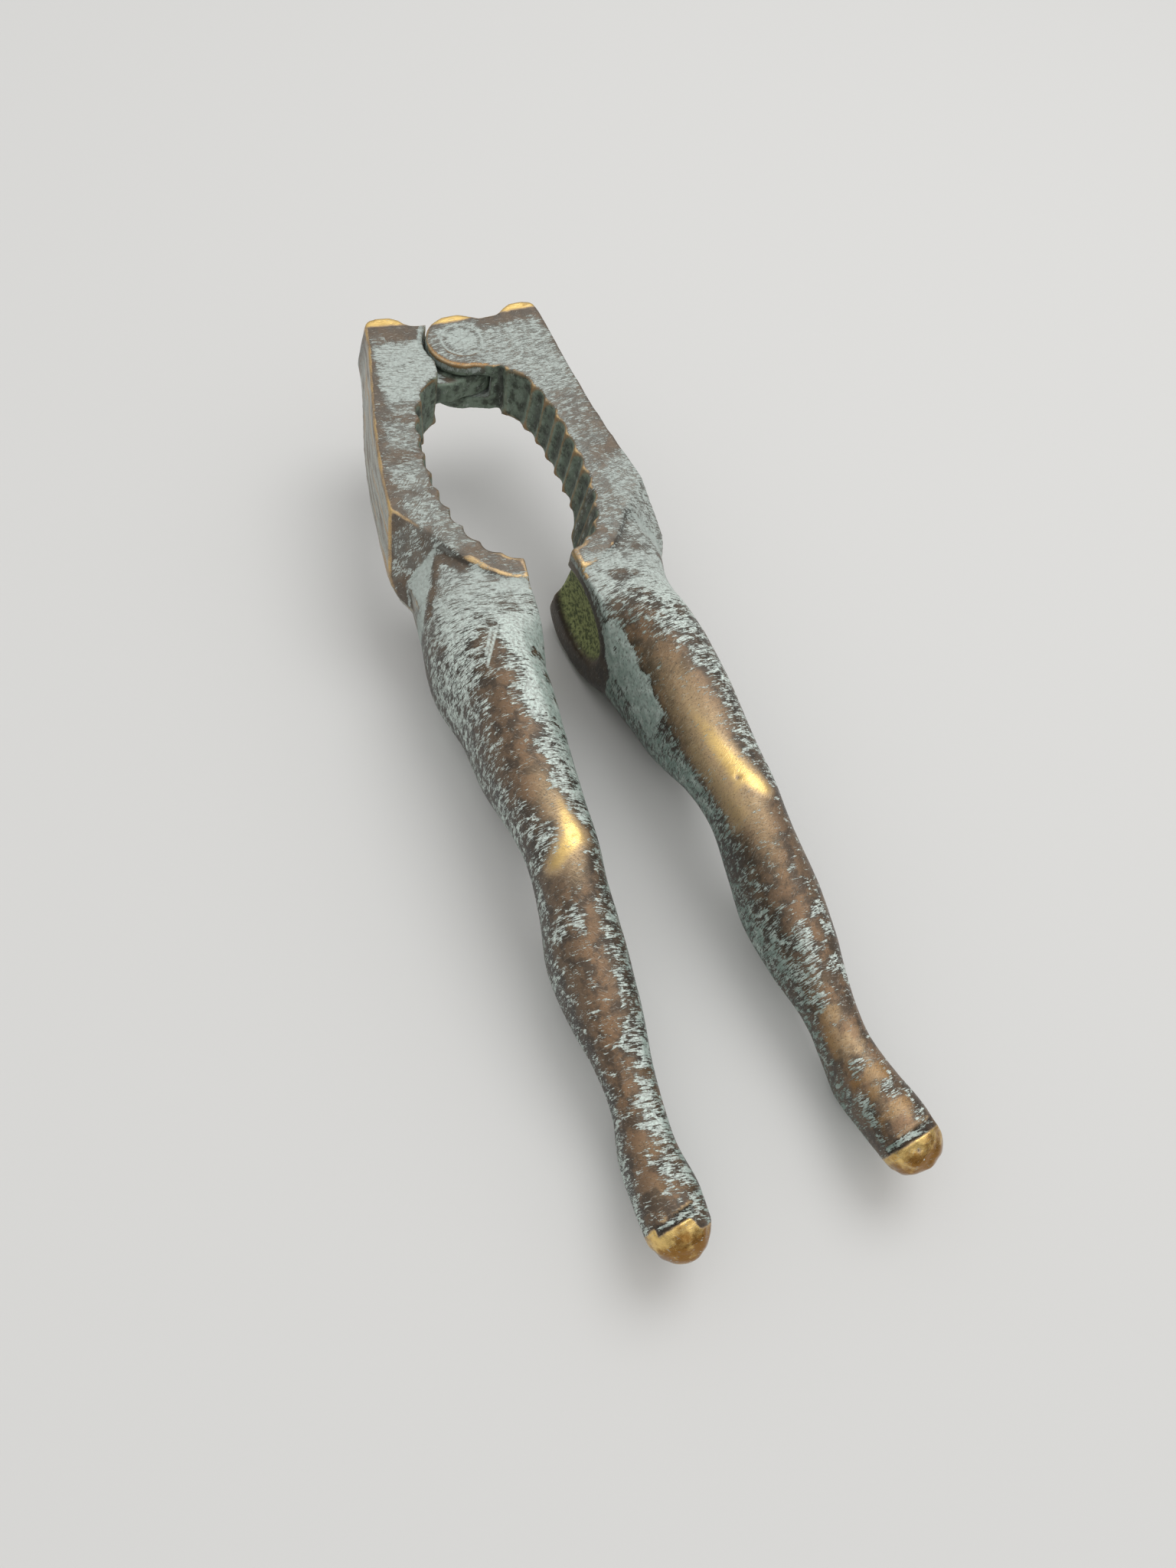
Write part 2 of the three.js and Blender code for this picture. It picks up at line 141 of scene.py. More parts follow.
def remeshed(node, side):
    """A copy of a CAD node's mesh in closed-leg millimetres, remeshed to even small faces."""
    mesh = node.data.copy()
    mesh.transform(leg_frame(side).inverted())
    work = bmesh.new()
    work.from_mesh(mesh)
    bmesh.ops.remove_doubles(work, verts=work.verts, dist=WELD)
    bmesh.ops.recalc_face_normals(work, faces=work.faces)
    work.to_mesh(mesh)
    work.free()
    carrier = bpy.data.objects.new("carrier", mesh)
    bpy.context.scene.collection.objects.link(carrier)
    modifier = carrier.modifiers.new("even", "REMESH")
    modifier.mode = "VOXEL"
    modifier.voxel_size = VOXEL
    graph = bpy.context.evaluated_depsgraph_get()
    even = bpy.data.meshes.new_from_object(carrier.evaluated_get(graph))
    bpy.data.objects.remove(carrier)
    return even


def vectors(mesh, kind):
    """The places, "co", or the normals, "normal", of a mesh's points."""
    flat = np.empty(len(mesh.vertices) * 3)
    mesh.vertices.foreach_get(kind, flat)
    return flat.reshape(-1, 3)


def set_points(mesh, points):
    mesh.vertices.foreach_set("co", points.astype(np.float32).ravel())
    mesh.update()


class Net:
    """The edges of a mesh, for smoothing values over its surface."""

    def __init__(self, mesh):
        pairs = np.empty(len(mesh.edges) * 2, np.int64)
        mesh.edges.foreach_get("vertices", pairs)
        self.a, self.b = pairs.reshape(-1, 2).T
        self.count = len(mesh.vertices)
        self.degree = np.maximum(np.bincount(np.r_[self.a, self.b], minlength=self.count), 1)

    def mean(self, values):
        """Mean over each point's neighbours."""
        columns = values.reshape(self.count, -1).T
        sums = [
            np.bincount(self.a, column[self.b], self.count)
            + np.bincount(self.b, column[self.a], self.count)
            for column in columns
        ]
        return (np.array(sums) / self.degree).T.reshape(values.shape)

    def relax(self, values, steps, weight=1.0):
        """Plain smoothing."""
        for _ in range(steps):
            values = values + SHRINK * weight * (self.mean(values) - values)
        return values

    def fair(self, points, steps, weight):
        """Smoothing that keeps the volume."""
        for _ in range(steps):
            points = self.relax(points, 1, weight)
            points = points - SWELL * weight * (self.mean(points) - points)
        return points


# Numbers that scatter the noise, and the range of its values
SEED_SHIFT, HASH_SEED, HASH_MIX = 17.31, 2654435761, 1274126177
HASH_AXES = (73856093, 19349663, 83492791)
HASH_BITS, HASH_HALF = 0xFFFF, 32767.5


def lattice_noise(points, scale, seed):
    """Smooth noise from -1 to 1 over points, the same on each run."""
    place = points * scale + seed * SEED_SHIFT
    base = np.floor(place).astype(np.int64)
    part = grow(place - base, 0.0, 1.0)
    total = np.zeros(len(points))
    for corner in range(8):
        step = np.array([corner & 1, corner >> 1 & 1, corner >> 2 & 1])
        cell = (base + step).astype(np.uint64)
        mix = np.uint64(seed * HASH_SEED)
        for column, factor in zip(cell.T, HASH_AXES):
            mix = mix ^ column * np.uint64(factor)
        mix = (mix ^ mix >> np.uint64(13)) * np.uint64(HASH_MIX)
        value = (mix >> np.uint64(16) & np.uint64(HASH_BITS)).astype(float) / HASH_HALF - 1.0
        share = np.where(step, part, 1.0 - part).prod(1)
        total += share * value
    return total


def layered_noise(points, rows, shift=0):
    """Sum of noises, each given by its height, scale and seed."""
    return sum(height * lattice_noise(points, scale, seed + shift) for height, scale, seed in rows)


def blob(points, x, along, radius):
    """A soft round spot on the front of a leg, 1 in its middle."""
    u = (points[:, 0] - x) / radius
    v = (-points[:, 1] - along) / radius
    return np.exp(-(u * u + v * v))


def off_line(x, along, start, end):
    """Share of the way along a straight line between two places, and the distance from it."""
    run = np.subtract(end, start)
    share = ((x - start[0]) * run[0] + (along - start[1]) * run[1]) / (run @ run)
    share = np.clip(share, 0.0, 1.0)
    return share, np.hypot(x - start[0] - share * run[0], along - start[1] - share * run[1])


def strokes_along(x, along, rows):
    """The strongest of several soft lines, each from place to place: x, along, width, strength."""
    total = np.zeros(len(x))
    for (x0, a0, r0, s0), (x1, a1, r1, s1) in rows:
        share, off = off_line(x, along, (x0, a0), (x1, a1))
        width = r0 + share * (r1 - r0)
        total = np.maximum(total, (s0 + share * (s1 - s0)) * np.exp(-(off / width) ** 2))
    return total


# How far the edge of a patch fades: a least distance and a share of the patch's smaller side
PATCH_SOFT = (0.7, 0.28)


def patches(x, along, rows, spread=1.0):
    """The strongest of several soft boxes: strength, x range and range along the leg."""
    total = np.zeros(len(x))
    for strength, x0, x1, a0, a1 in rows:
        soft = spread * (PATCH_SOFT[0] + PATCH_SOFT[1] * min(x1 - x0, a1 - a0))
        total = np.maximum(total, strength * band(x, x0, x1, soft) * band(along, a0, a1, soft))
    return total


# Edge of the toe cap: x and place of a point on it and its slope; where its groove runs in x
SHOE_LINE = {RIGHT: (0.8, 146.3, -0.12), LEFT: (3.5, 145.2, 0.3)}
GROOVE_REACH = {RIGHT: (0.9, 7.6), LEFT: (3.3, 7.7)}


def past_shoe_line(points, side):
    """Distance past the edge of the toe cap along the foot."""
    x0, start, slope = SHOE_LINE[side]
    return -points[:, 1] - start - slope * (points[:, 0] - x0)


# Fine relief. Lumps: height, scale and seed
FACING_FRONT = (0.05, 0.45)
CASTING_LUMPS = ((0.07, 0.17, 3), (0.04, 0.5, 7))
LUMPS_START = (8.0, 11.0)
CAP_LUMPS = ((0.28, 0.42, 21), (0.12, 0.9, 23))
CAP_LUMPS_START = (0.8, 1.6)
GROOVE_DEPTH, GROOVE_ACROSS, GROOVE_ENDS = 0.48, (-0.4, 0.4, 0.22), 0.6
GROOVE_LIP_HEIGHT, GROOVE_LIP_ACROSS = 0.12, (0.75, 0.9, 0.25)

# Pits: x, along, radius and depth; those under DULL_PIT_RADIUS have no bright floor
PITS = {
    RIGHT: (
        (4.6, 93.8, 0.38, 0.3), (3.6, 147.9, 0.4, 0.3), (6.3, 148.4, 0.6, 0.22),
        (5.2, 149.6, 0.8, 0.2),
    ),
    LEFT: ((3.4, 148.2, 0.45, 0.25), (6.2, 149.0, 0.8, 0.22), (5.0, 147.7, 0.5, 0.2)),
}
DULL_PIT_RADIUS = 0.42


def detail(mesh, side):
    """Groove of the toe cap, pits and dents, and the unevenness of a hand-finished casting."""
    p, n = vectors(mesh, "co"), vectors(mesh, "normal")
    front = grow(n[:, 2], *FACING_FRONT)
    radius = np.hypot(p[:, 0], p[:, 1])
    rise = layered_noise(p, CASTING_LUMPS, side) * grow(radius, *LUMPS_START)
    off = past_shoe_line(p, side)
    groove = GROOVE_LIP_HEIGHT * band(np.abs(off), *GROOVE_LIP_ACROSS)
    groove = groove - GROOVE_DEPTH * band(off, *GROOVE_ACROSS)
    rise += band(p[:, 0], *GROOVE_REACH[side], GROOVE_ENDS) * front * groove
    rise += grow(off, *CAP_LUMPS_START) * layered_noise(p, CAP_LUMPS, side)
    for x, along, pit_radius, depth in PITS[side]:
        rise -= front * depth * blob(p, x, along, pit_radius)
    set_points(mesh, p + n * rise[:, None])


# Where each kind of smoothing acts
EVEN_STEPS, EVEN = 4, (0.93, 0.985)
SHANK_SMOOTH = (CROTCH + 4, CROTCH + 11)
HIP_ALONG, HIP_X = (CROTCH - 8, CROTCH + 11, 3.0), (11.0, 13.0)
CROTCH_X, CROTCH_ALONG, CROTCH_DEPTH = 3.4, (CROTCH - 3, CROTCH + 5, 1.5), (2.0, 4.0)
TOP_START = (1.5, 4.5)
VEE = (12.2, CROTCH - 4.4, 2.2)
SHOULDER = (6.9, -4.4, 1.6)
RUNOUT_LINE, RUNOUT_WIDTH = ((13.0, 41.8), (8.6, 46.9)), (1.0, 2.2)
NEAR_FRONT = (-6.0, -4.0)
CAP_START = (145.6, 147.4)


def smooth_places(mesh, net):
    """1 on faces that are even, 0 beside sharp edges."""
    n = vectors(mesh, "normal")
    mean = net.relax(n, EVEN_STEPS)
    mean /= np.linalg.norm(mean, axis=1, keepdims=True)
    return grow((n * mean).sum(1), *EVEN)


def build_leg(name, node, side):
    mesh = remeshed(frame["nodes"][node], side)
    net = Net(mesh)
    points = net.relax(vectors(mesh, "co"), FRAME_SMOOTHING)
    set_points(mesh, points)
    x, y, z = points.T
    shank = grow(-y, *SHANK_SMOOTH)
    hip = band(-y, *HIP_ALONG) * grow(x, *HIP_X) * smooth_places(mesh, net)
    crotch = (x < CROTCH_X) * band(-y, *CROTCH_ALONG) * grow(-z, *CROTCH_DEPTH)
    points = net.fair(points, LEG_SMOOTHING, shank[:, None])
    points = net.fair(points, HIP_SMOOTHING, hip[:, None])
    points = net.fair(points, TOP_SMOOTHING, grow(y, *TOP_START)[:, None])
    near_front = grow(z, *NEAR_FRONT)
    vee = blob(points, *VEE) * near_front
    shoulder = (side == LEFT) * blob(points, *SHOULDER)
    _, off_runout = off_line(points[:, 0], -points[:, 1], *RUNOUT_LINE)
    runout = fade(off_runout, *RUNOUT_WIDTH) * near_front
    rounded = grow(-y, *CAP_START)
    for place in (crotch, vee, shoulder, runout):
        rounded = np.maximum(rounded, place)
    points = net.relax(points, CAP_SMOOTHING, rounded[:, None])
    set_points(mesh, points)
    detail(mesh, side)
    paint(mesh, net, side)
    return finished(name, mesh, side)


def finished(name, mesh, side):
    """A painted mesh in closed-leg millimetres as a piece of the scene."""
    mesh.transform(leg_frame(side))
    if side == LEFT:
        mesh.flip_normals()
    mesh.shade_smooth()
    piece = bpy.data.objects.new(name, mesh)
    bpy.context.scene.collection.objects.link(piece)
    return piece


# Values that the material reads at each point
LOOKS = ("worn", "tarnish", "orange", "copper_sheen", "pale", "mottled", "slanted", "teal", "green", "crest",
         "grime", "aged", "moss", "streak", "off_scratch")
LEGS_APART = 40.0


def set_looks(mesh, points, side, looks):
    """Store the looks, and closed-leg millimetres as the material's coordinates, apart for the legs."""
    for name in LOOKS:
        attribute = mesh.attributes.new(name, "FLOAT", "POINT")
        attribute.data.foreach_set("value", np.clip(looks[name], 0.0, 1.0).astype(np.float32))
    place = mesh.attributes.new("place", "FLOAT_VECTOR", "POINT")
    shifted = points + np.array([0.0, 0.0, LEGS_APART * (1 - side)])
    place.data.foreach_set("vector", shifted.astype(np.float32).ravel())


# Measures of a leg's surface
FACING_INNER = (0.35, 0.75)
STEEP = (0.45, 0.75)
SHANK = (CROTCH + 2, CROTCH + 5)
EDGE_STEPS, CRISP_STEPS, RIDGE_STEPS = 8, 3, 40
WOBBLE_X = ((1.2, 0.36, 31), (0.6, 1.2, 32))
WOBBLE_Y = ((1.2, 0.36, 33), (0.6, 1.2, 34))
BLOTCHES = ((1.0, 0.42, 57), (0.5, 1.1, 58))


class Surface:
    """Points, normals and common measures of a leg's mesh, in closed-leg millimetres."""

    def __init__(self, mesh, net, side):
        self.side = side
        self.p, self.n = vectors(mesh, "co"), vectors(mesh, "normal")
        self.x, self.y, self.z = self.p.T
        self.nx, self.ny, self.nz = self.n.T
        self.along = -self.y
        self.radius = np.hypot(self.x, self.y)
        self.edge = self.standing_out(net, EDGE_STEPS)
        self.crisp = self.standing_out(net, CRISP_STEPS)
        self.ridge = self.standing_out(net, RIDGE_STEPS)
        self.wobble_x = layered_noise(self.p, WOBBLE_X)
        self.wobble_y = layered_noise(self.p, WOBBLE_Y)
        self.blotches = layered_noise(self.p, BLOTCHES)
        self.front = grow(self.nz, *FACING_FRONT)
        self.inner = grow(-self.nx, *FACING_INNER)
        self.upright = fade(np.abs(self.nz), *STEEP)
        self.shank = grow(self.along, *SHANK)
        self.off_shoe = past_shoe_line(self.p, side)
        self.groove_reach = GROOVE_REACH[side]

    def standing_out(self, net, steps):
        """How far each point stands out of the surface around it."""
        return ((self.p - net.relax(self.p, steps)) * self.n).sum(1)

    def noise(self, scale, seed):
        return lattice_noise(self.p, scale, seed)


# Walls of the frame
LEAST_REACH = 0.1
JAW_FACING, JAW_TOP = (0.15, 0.5), (2.0, 6.0)
OUTER_FACING, OUTER_TOP, OUTER_UPWARD = (0.1, 0.5), (-4.0, 0.0), (0.3, 0.45)
TOP_FACING, TOP_LEVEL = (0.35, 0.7), (2.8, 4.2)
UNDER_FACING, UNDER_ALONG = (0.1, 0.4), (2.0, 9.0, 1.0)
UNDER_WIDTH, UNDER_EAR = (8.0, 10.0), (1.4, 2.2)
EAR_CLEAR, LUG = (6.4, 7.4), (6.3, 6.9)
TONGUE_TOP = (3.5, 4.5)
FORK_DEPTH, FORK_BACK = (1.5, 2.5), -8.0
SEAM_RADIUS, SEAM_LOW, SEAM_HIGH = (6.3, 7.5, 0.35), (-6.5, -4.5), (4.8, 5.4)
SEAM_LEFT_X, SEAM_RIGHT_X = (2.0, 4.0), (1.0, 3.0)


def frame_walls(s):
    """The jaw faces the nut opening, the other walls face away from it, and the hinge lies between."""
    reach = np.maximum(np.hypot(s.x, s.y + OPENING_MIDDLE), LEAST_REACH)
    facing = (s.nx * -s.x + s.ny * (-OPENING_MIDDLE - s.y)) / reach
    clear = grow(s.radius, *EAR_CLEAR)
    lug = fade(s.radius, *LUG)
    jaw = s.upright * grow(facing, *JAW_FACING) * (1.0 - s.shank)
    jaw *= grow(s.along, *JAW_TOP)
    outer = s.upright * grow(-facing, *OUTER_FACING) * (1.0 - s.shank) * clear
    outer *= grow(s.along, *OUTER_TOP) * fade(s.nz, *OUTER_UPWARD)
    top = grow(s.ny, *TOP_FACING) * grow(s.y, *TOP_LEVEL)
    under = grow(-s.ny, *UNDER_FACING) * band(s.along, *UNDER_ALONG)
    under *= fade(np.abs(s.x), *UNDER_WIDTH)
    seam = band(s.radius, *SEAM_RADIUS) * grow(s.y, *SEAM_LOW) * fade(s.y, *SEAM_HIGH)
    tongue = fork = np.zeros(len(s.p))
    if s.side == RIGHT:
        jaw *= clear
        under *= grow(-s.z, *UNDER_EAR)
        seam *= s.upright * grow(-s.x, *SEAM_RIGHT_X)
        fork = lug * np.maximum(s.upright, grow(-s.z, *FORK_DEPTH)) * (s.z > FORK_BACK)
    else:
        seam *= grow(s.x, *SEAM_LEFT_X)
        tongue = lug * fade(s.y, *TONGUE_TOP)
    return SimpleNamespace(facing=facing, jaw=jaw, outer=outer, top=top, under=under, seam=seam,
                           tongue=tongue, fork=fork)


# Hollow in the flat inner thigh
HOLLOW_BELOW_CROTCH = 5.0
HOLLOW_LEVEL = -10.8
HOLLOW_HALF_LENGTH = 9.2
HOLLOW_HALF_HEIGHT = 7.0
HOLLOW_RIM, HOLLOW_EDGE = (1.2, 1.32), (1.0, 1.1)
FLAT_X, FLAT_LOW = (-1.1, -0.7), (8.0, 10.0)
MATING_ALONG, MATING_X = (CROTCH - 2.5, CROTCH + 17.5, 1.0), 4.2
MOSS_OVAL, MOSS_START, MOSS_END = (0.84, 1.0), (0.25, 0.7), (3.2, 4.0)

# Facet on the outer side of the hip: its ridge as places along the leg and x, its top edge as a
# place, x and slope, and its other bounds; a dark strip runs beside the ridge
FLANK_RIDGE = ((41.0, 11.9), (43.7, 13.5), (48.8, 15.3), (55.0, 17.4))
FLANK_TOP = (41.4, 12.4, 0.45)
FLANK_WOBBLE = 0.15
FLANK_PAST_RIDGE, FLANK_PAST_TOP = (-0.1, 0.4), (-0.3, 0.8)
FLANK_OUTER, FLANK_END = (17.6, 18.6), (52.5, 56.0)
STRIP_PAST_RIDGE, STRIP_ALONG = (-0.8, -0.3, 0.3), (44.0, 53.0, 1.0)


def thigh_faces(s):
    """The flat inner thigh with its mossy hollow, and the facet on the outer side of the hip."""
    u = (s.along - CROTCH - HOLLOW_BELOW_CROTCH) / HOLLOW_HALF_LENGTH
    v = (s.z - HOLLOW_LEVEL) / HOLLOW_HALF_HEIGHT
    oval = np.hypot(u, v)
    flat = np.maximum(grow(-s.z, *FLAT_LOW), fade(oval, *HOLLOW_RIM))
    flat = np.maximum(grow(-s.x, *FLAT_X) * flat, fade(oval, *HOLLOW_EDGE))
    mating = flat * s.inner * band(s.along, *MATING_ALONG) * (s.x < MATING_X)
    moss = fade(oval, *MOSS_OVAL) * grow(s.x, *MOSS_START) * fade(s.x, *MOSS_END)
    past_ridge = s.x + FLANK_WOBBLE * s.wobble_x - np.interp(s.along, *np.transpose(FLANK_RIDGE))
    top_along, top_x, top_slope = FLANK_TOP
    past_top = s.along - top_along - top_slope * (s.x - top_x)
    flank = grow(past_ridge, *FLANK_PAST_RIDGE) * grow(past_top, *FLANK_PAST_TOP)
    flank *= fade(s.x, *FLANK_OUTER) * fade(s.along, *FLANK_END)
    strip = band(past_ridge, *STRIP_PAST_RIDGE) * band(s.along, *STRIP_ALONG) * s.front
    return SimpleNamespace(mating=mating, moss=moss, flank=flank, strip=strip)


# Rims worn bright: how sharp an edge is, where it runs, and how bright it is
PATCHY_NOISE, PATCHY, PATCHY_LEAST = (0.7, 51), (-0.4, 0.2), 0.55
CRISP, SLIGHTLY_CRISP = (0.02, 0.042), (0.006, 0.02)
LIP_ALONG, LIP_X = (CROTCH - 1.0, CROTCH + 5.5, 0.8), (10.5, 12.5)
LIP_SHARP, LIP_LEVEL = (0.012, 0.035), (-1.6, -0.7)
LIP_BRIGHT, LIP_RIGHT_X = {RIGHT: 0.6, LEFT: 0.55}, (1.5, 4.5)
LEFT_RIM_OUTER, LEFT_RIM_OUTER_BRIGHT = (13.5, 15.5), 0.75
LEFT_RIM_JAW, LEFT_RIM_JAW_X, LEFT_RIM_JAW_BRIGHT = (-1.0, -0.3), 12.5, 0.2
LEFT_RIM_ALONG, LEFT_RIM_LEVEL = (-6.0, 47.0, 1.0), (-1.6, -0.8)
OUTER_EDGE_X, OUTER_EDGE_ALONG = (14.0, 16.0), (-6.0, 44.0, 1.0)
OUTER_EDGE_FACING, OUTER_EDGE_LEVEL = (0.12, 0.32), (-1.4, -0.6)
CORNER_X, CORNER_ALONG, CORNER_LEVEL = (17.0, 18.0), (36.0, 50.0, 1.0), (-9.0, -7.5)
OUTER_EDGE_BRIGHT = 0.62
RIGHT_RIM_X, RIGHT_RIM_ALONG, RIGHT_RIM_LEVEL = 12.0, (6.5, 48.0, 1.0), (-1.4, -0.6)
RIGHT_RIM_BRIGHT = 0.6
EAR_RIM_RADIUS, EAR_RIM_LEVEL, EAR_RIM_BRIGHT = 7.0, (-1.5, -0.7), 0.5
EAR_FOOT_RADIUS, EAR_FOOT_TILT, EAR_FOOT_LOW = 6.9, 0.4, (1.5, 3.5)
EAR_FOOT_SHARP, EAR_FOOT_LEVEL = (0.02, 0.07), (-2.2, -1.0)
RIM_ORANGE = 0.6


def worn_rims(s, walls):
    """Bright rims of the frame and its lips, and the orange of old wear beside them."""
    patchy = PATCHY_LEAST + (1.0 - PATCHY_LEAST) * grow(s.noise(*PATCHY_NOISE), *PATCHY)
    line = grow(s.crisp, *CRISP) * patchy
    lip = band(s.along, *LIP_ALONG) * fade(s.x, *LIP_X)
    lip *= grow(s.edge, *LIP_SHARP) * grow(s.z, *LIP_LEVEL) * patchy
    lip *= LIP_BRIGHT[s.side]
    if s.side == LEFT:
        rim = LEFT_RIM_OUTER_BRIGHT * grow(s.x, *LEFT_RIM_OUTER)
        jaw_rim = grow(-walls.facing, *LEFT_RIM_JAW) * (s.x < LEFT_RIM_JAW_X)
        rim = rim + LEFT_RIM_JAW_BRIGHT * jaw_rim
        rim *= band(s.along, *LEFT_RIM_ALONG) * grow(s.z, *LEFT_RIM_LEVEL)
        sharp = grow(s.crisp, *SLIGHTLY_CRISP)
        edge = sharp * grow(s.x, *OUTER_EDGE_X) * band(s.along, *OUTER_EDGE_ALONG)
        edge *= grow(s.nx, *OUTER_EDGE_FACING) * grow(s.z, *OUTER_EDGE_LEVEL)
        corner = sharp * grow(s.x, *CORNER_X) * band(s.along, *CORNER_ALONG)
        corner *= grow(s.z, *CORNER_LEVEL)
        extra = OUTER_EDGE_BRIGHT * np.maximum(edge, corner) * patchy
        ear_foot = np.zeros(len(s.p))
    else:
        lip *= fade(s.x, *LIP_RIGHT_X)
        rim = RIGHT_RIM_BRIGHT * (s.x < RIGHT_RIM_X) * band(s.along, *RIGHT_RIM_ALONG)
        rim *= grow(s.z, *RIGHT_RIM_LEVEL)
        ear_rim = (s.radius < EAR_RIM_RADIUS) * grow(s.z, *EAR_RIM_LEVEL)
        rim = np.maximum(rim, EAR_RIM_BRIGHT * ear_rim)
        extra = np.zeros(len(s.p))
        ear_foot = (s.radius < EAR_FOOT_RADIUS) * grow(s.edge, *EAR_FOOT_SHARP)
        ear_foot = ear_foot * grow(-s.y - EAR_FOOT_TILT * s.x, *EAR_FOOT_LOW)
        ear_foot *= grow(s.z, *EAR_FOOT_LEVEL)
    bright = np.maximum(np.maximum(line * rim * (1.0 - s.shank), lip), extra)
    return bright, np.maximum(ear_foot, RIM_ORANGE * line * rim)


# Lines of bright brass on the knees and feet, and of coppery metal with a painted sheen along the fronts of
# the thighs and shins: each line from one place to another, with x, along, width and strength
KNEE = {
    LEFT: (
        ((6.3, 91, 1.2, 0.55), (5.8, 96.2, 1.9, 1)),
        ((5.8, 96.6, 2, 1), (8.8, 99.4, 1.5, 0.75)),
        ((9, 83, 2.4, 0.1), (6.6, 92, 2.6, 0.42)),
        ((6.6, 99, 2.2, 0.42), (6.9, 104, 1.8, 0.12)),
        ((6.5, 128, 1.2, 0.14), (6.3, 144, 1.6, 0.16)),
    ),
    RIGHT: (
        ((3.4, 78, 1.6, 0.34), (4.6, 88, 1.8, 0.8)),
        ((4.6, 88, 1.8, 0.8), (5.2, 93.4, 2.1, 1)),
        ((5.2, 93.4, 2.1, 1), (7, 96.8, 1.5, 0.85)),
        ((5, 94, 1.8, 0.75), (2.6, 96.4, 1.3, 0.45)),
        ((3.4, 68, 2.6, 0.16), (4.2, 84, 3.2, 0.48)),
        ((2.6, 86, 1.8, 0.42), (2.9, 99, 2.2, 0.52)),
        ((4.4, 98, 2.6, 0.42), (4.2, 110, 2, 0.1)),
        ((3.2, 124, 2, 0.26), (3.8, 134, 2.4, 0.42)),
        ((3.9, 137, 2.1, 0.28), (3.8, 143, 2.5, 0.3)),
        ((3, 145.1, 0.8, 0.55), (6.2, 144.8, 0.7, 0.55)),
    ),
}
COPPER_SHEEN = {
    LEFT: (
        ((7.2, 104, 1.8, 0.6), (6.8, 122, 1.7, 0.8)),
        ((6.8, 122, 1.7, 0.8), (6.5, 144, 1.9, 0.6)),
        ((9.6, 70, 1.8, 0.4), (9, 90, 2, 0.6)),
    ),
    RIGHT: (
        ((3.4, 63, 2.2, 0.6), (4.2, 84, 3, 0.8)),
        ((5.2, 98, 2.6, 0.6), (4.8, 124, 2.8, 0.6)),
        ((4.2, 124, 2.8, 0.8), (4, 145, 3.2, 0.8)),
    ),
}
KNEE_FACING = (-0.05, 0.45)
FOOT_START, FOOT_BLOTCHES, FOOT_DULL = (122.0, 126.0), (-0.4, 0.3), 0.6

# Toe caps, their grooves, and the bumps on top of the frame
CAP_EDGE = (0.5, 0.8)
CAP_SHIFT, CAP_SHIFT_X, CAP_RETURN, CAP_RETURN_X = 2.0, (-4.2, -2.6), 1.0, 8.0
TARNISH_CAP, TARNISH_MORE_RIGHT, TARNISH_TIP, TARNISH_ALONG = 0.3, 0.12, 0.55, (1.0, 4.0)
DULL_PIT, DULL_PIT_SHARE = 0.9, 0.8
GROOVE_DARK, GROOVE_DARK_ENDS = (-0.45, 0.45, 0.2), 0.5
GROOVE_LIP, GROOVE_LIP_ENDS, GROOVE_LIP_BRIGHT = (0.62, 0.85, 0.15), 0.4, 0.5
GROOVE_LIP_NOISE, GROOVE_LIP_PATCHY = (1.3, 61), (-0.2, 0.3)
BUMPS_START, BUMPS_WOBBLE = {RIGHT: (4.2, 5.0), LEFT: (3.9, 4.8)}, 0.35
BUMPS_BACK, BUMPS_BACK_DULL, BUMPS_OUTER = (3.0, 7.0), 0.75, (14.0, 16.0)
RUST_BLOTCHES, RUST_ALONG, RUST_X = (-0.1, 0.5), (127.0, 145.0, 2.5), (1.8, 5.6, 1.0)
RUST, RUST_SIDE = 0.6, {RIGHT: 1.0, LEFT: 0.4}


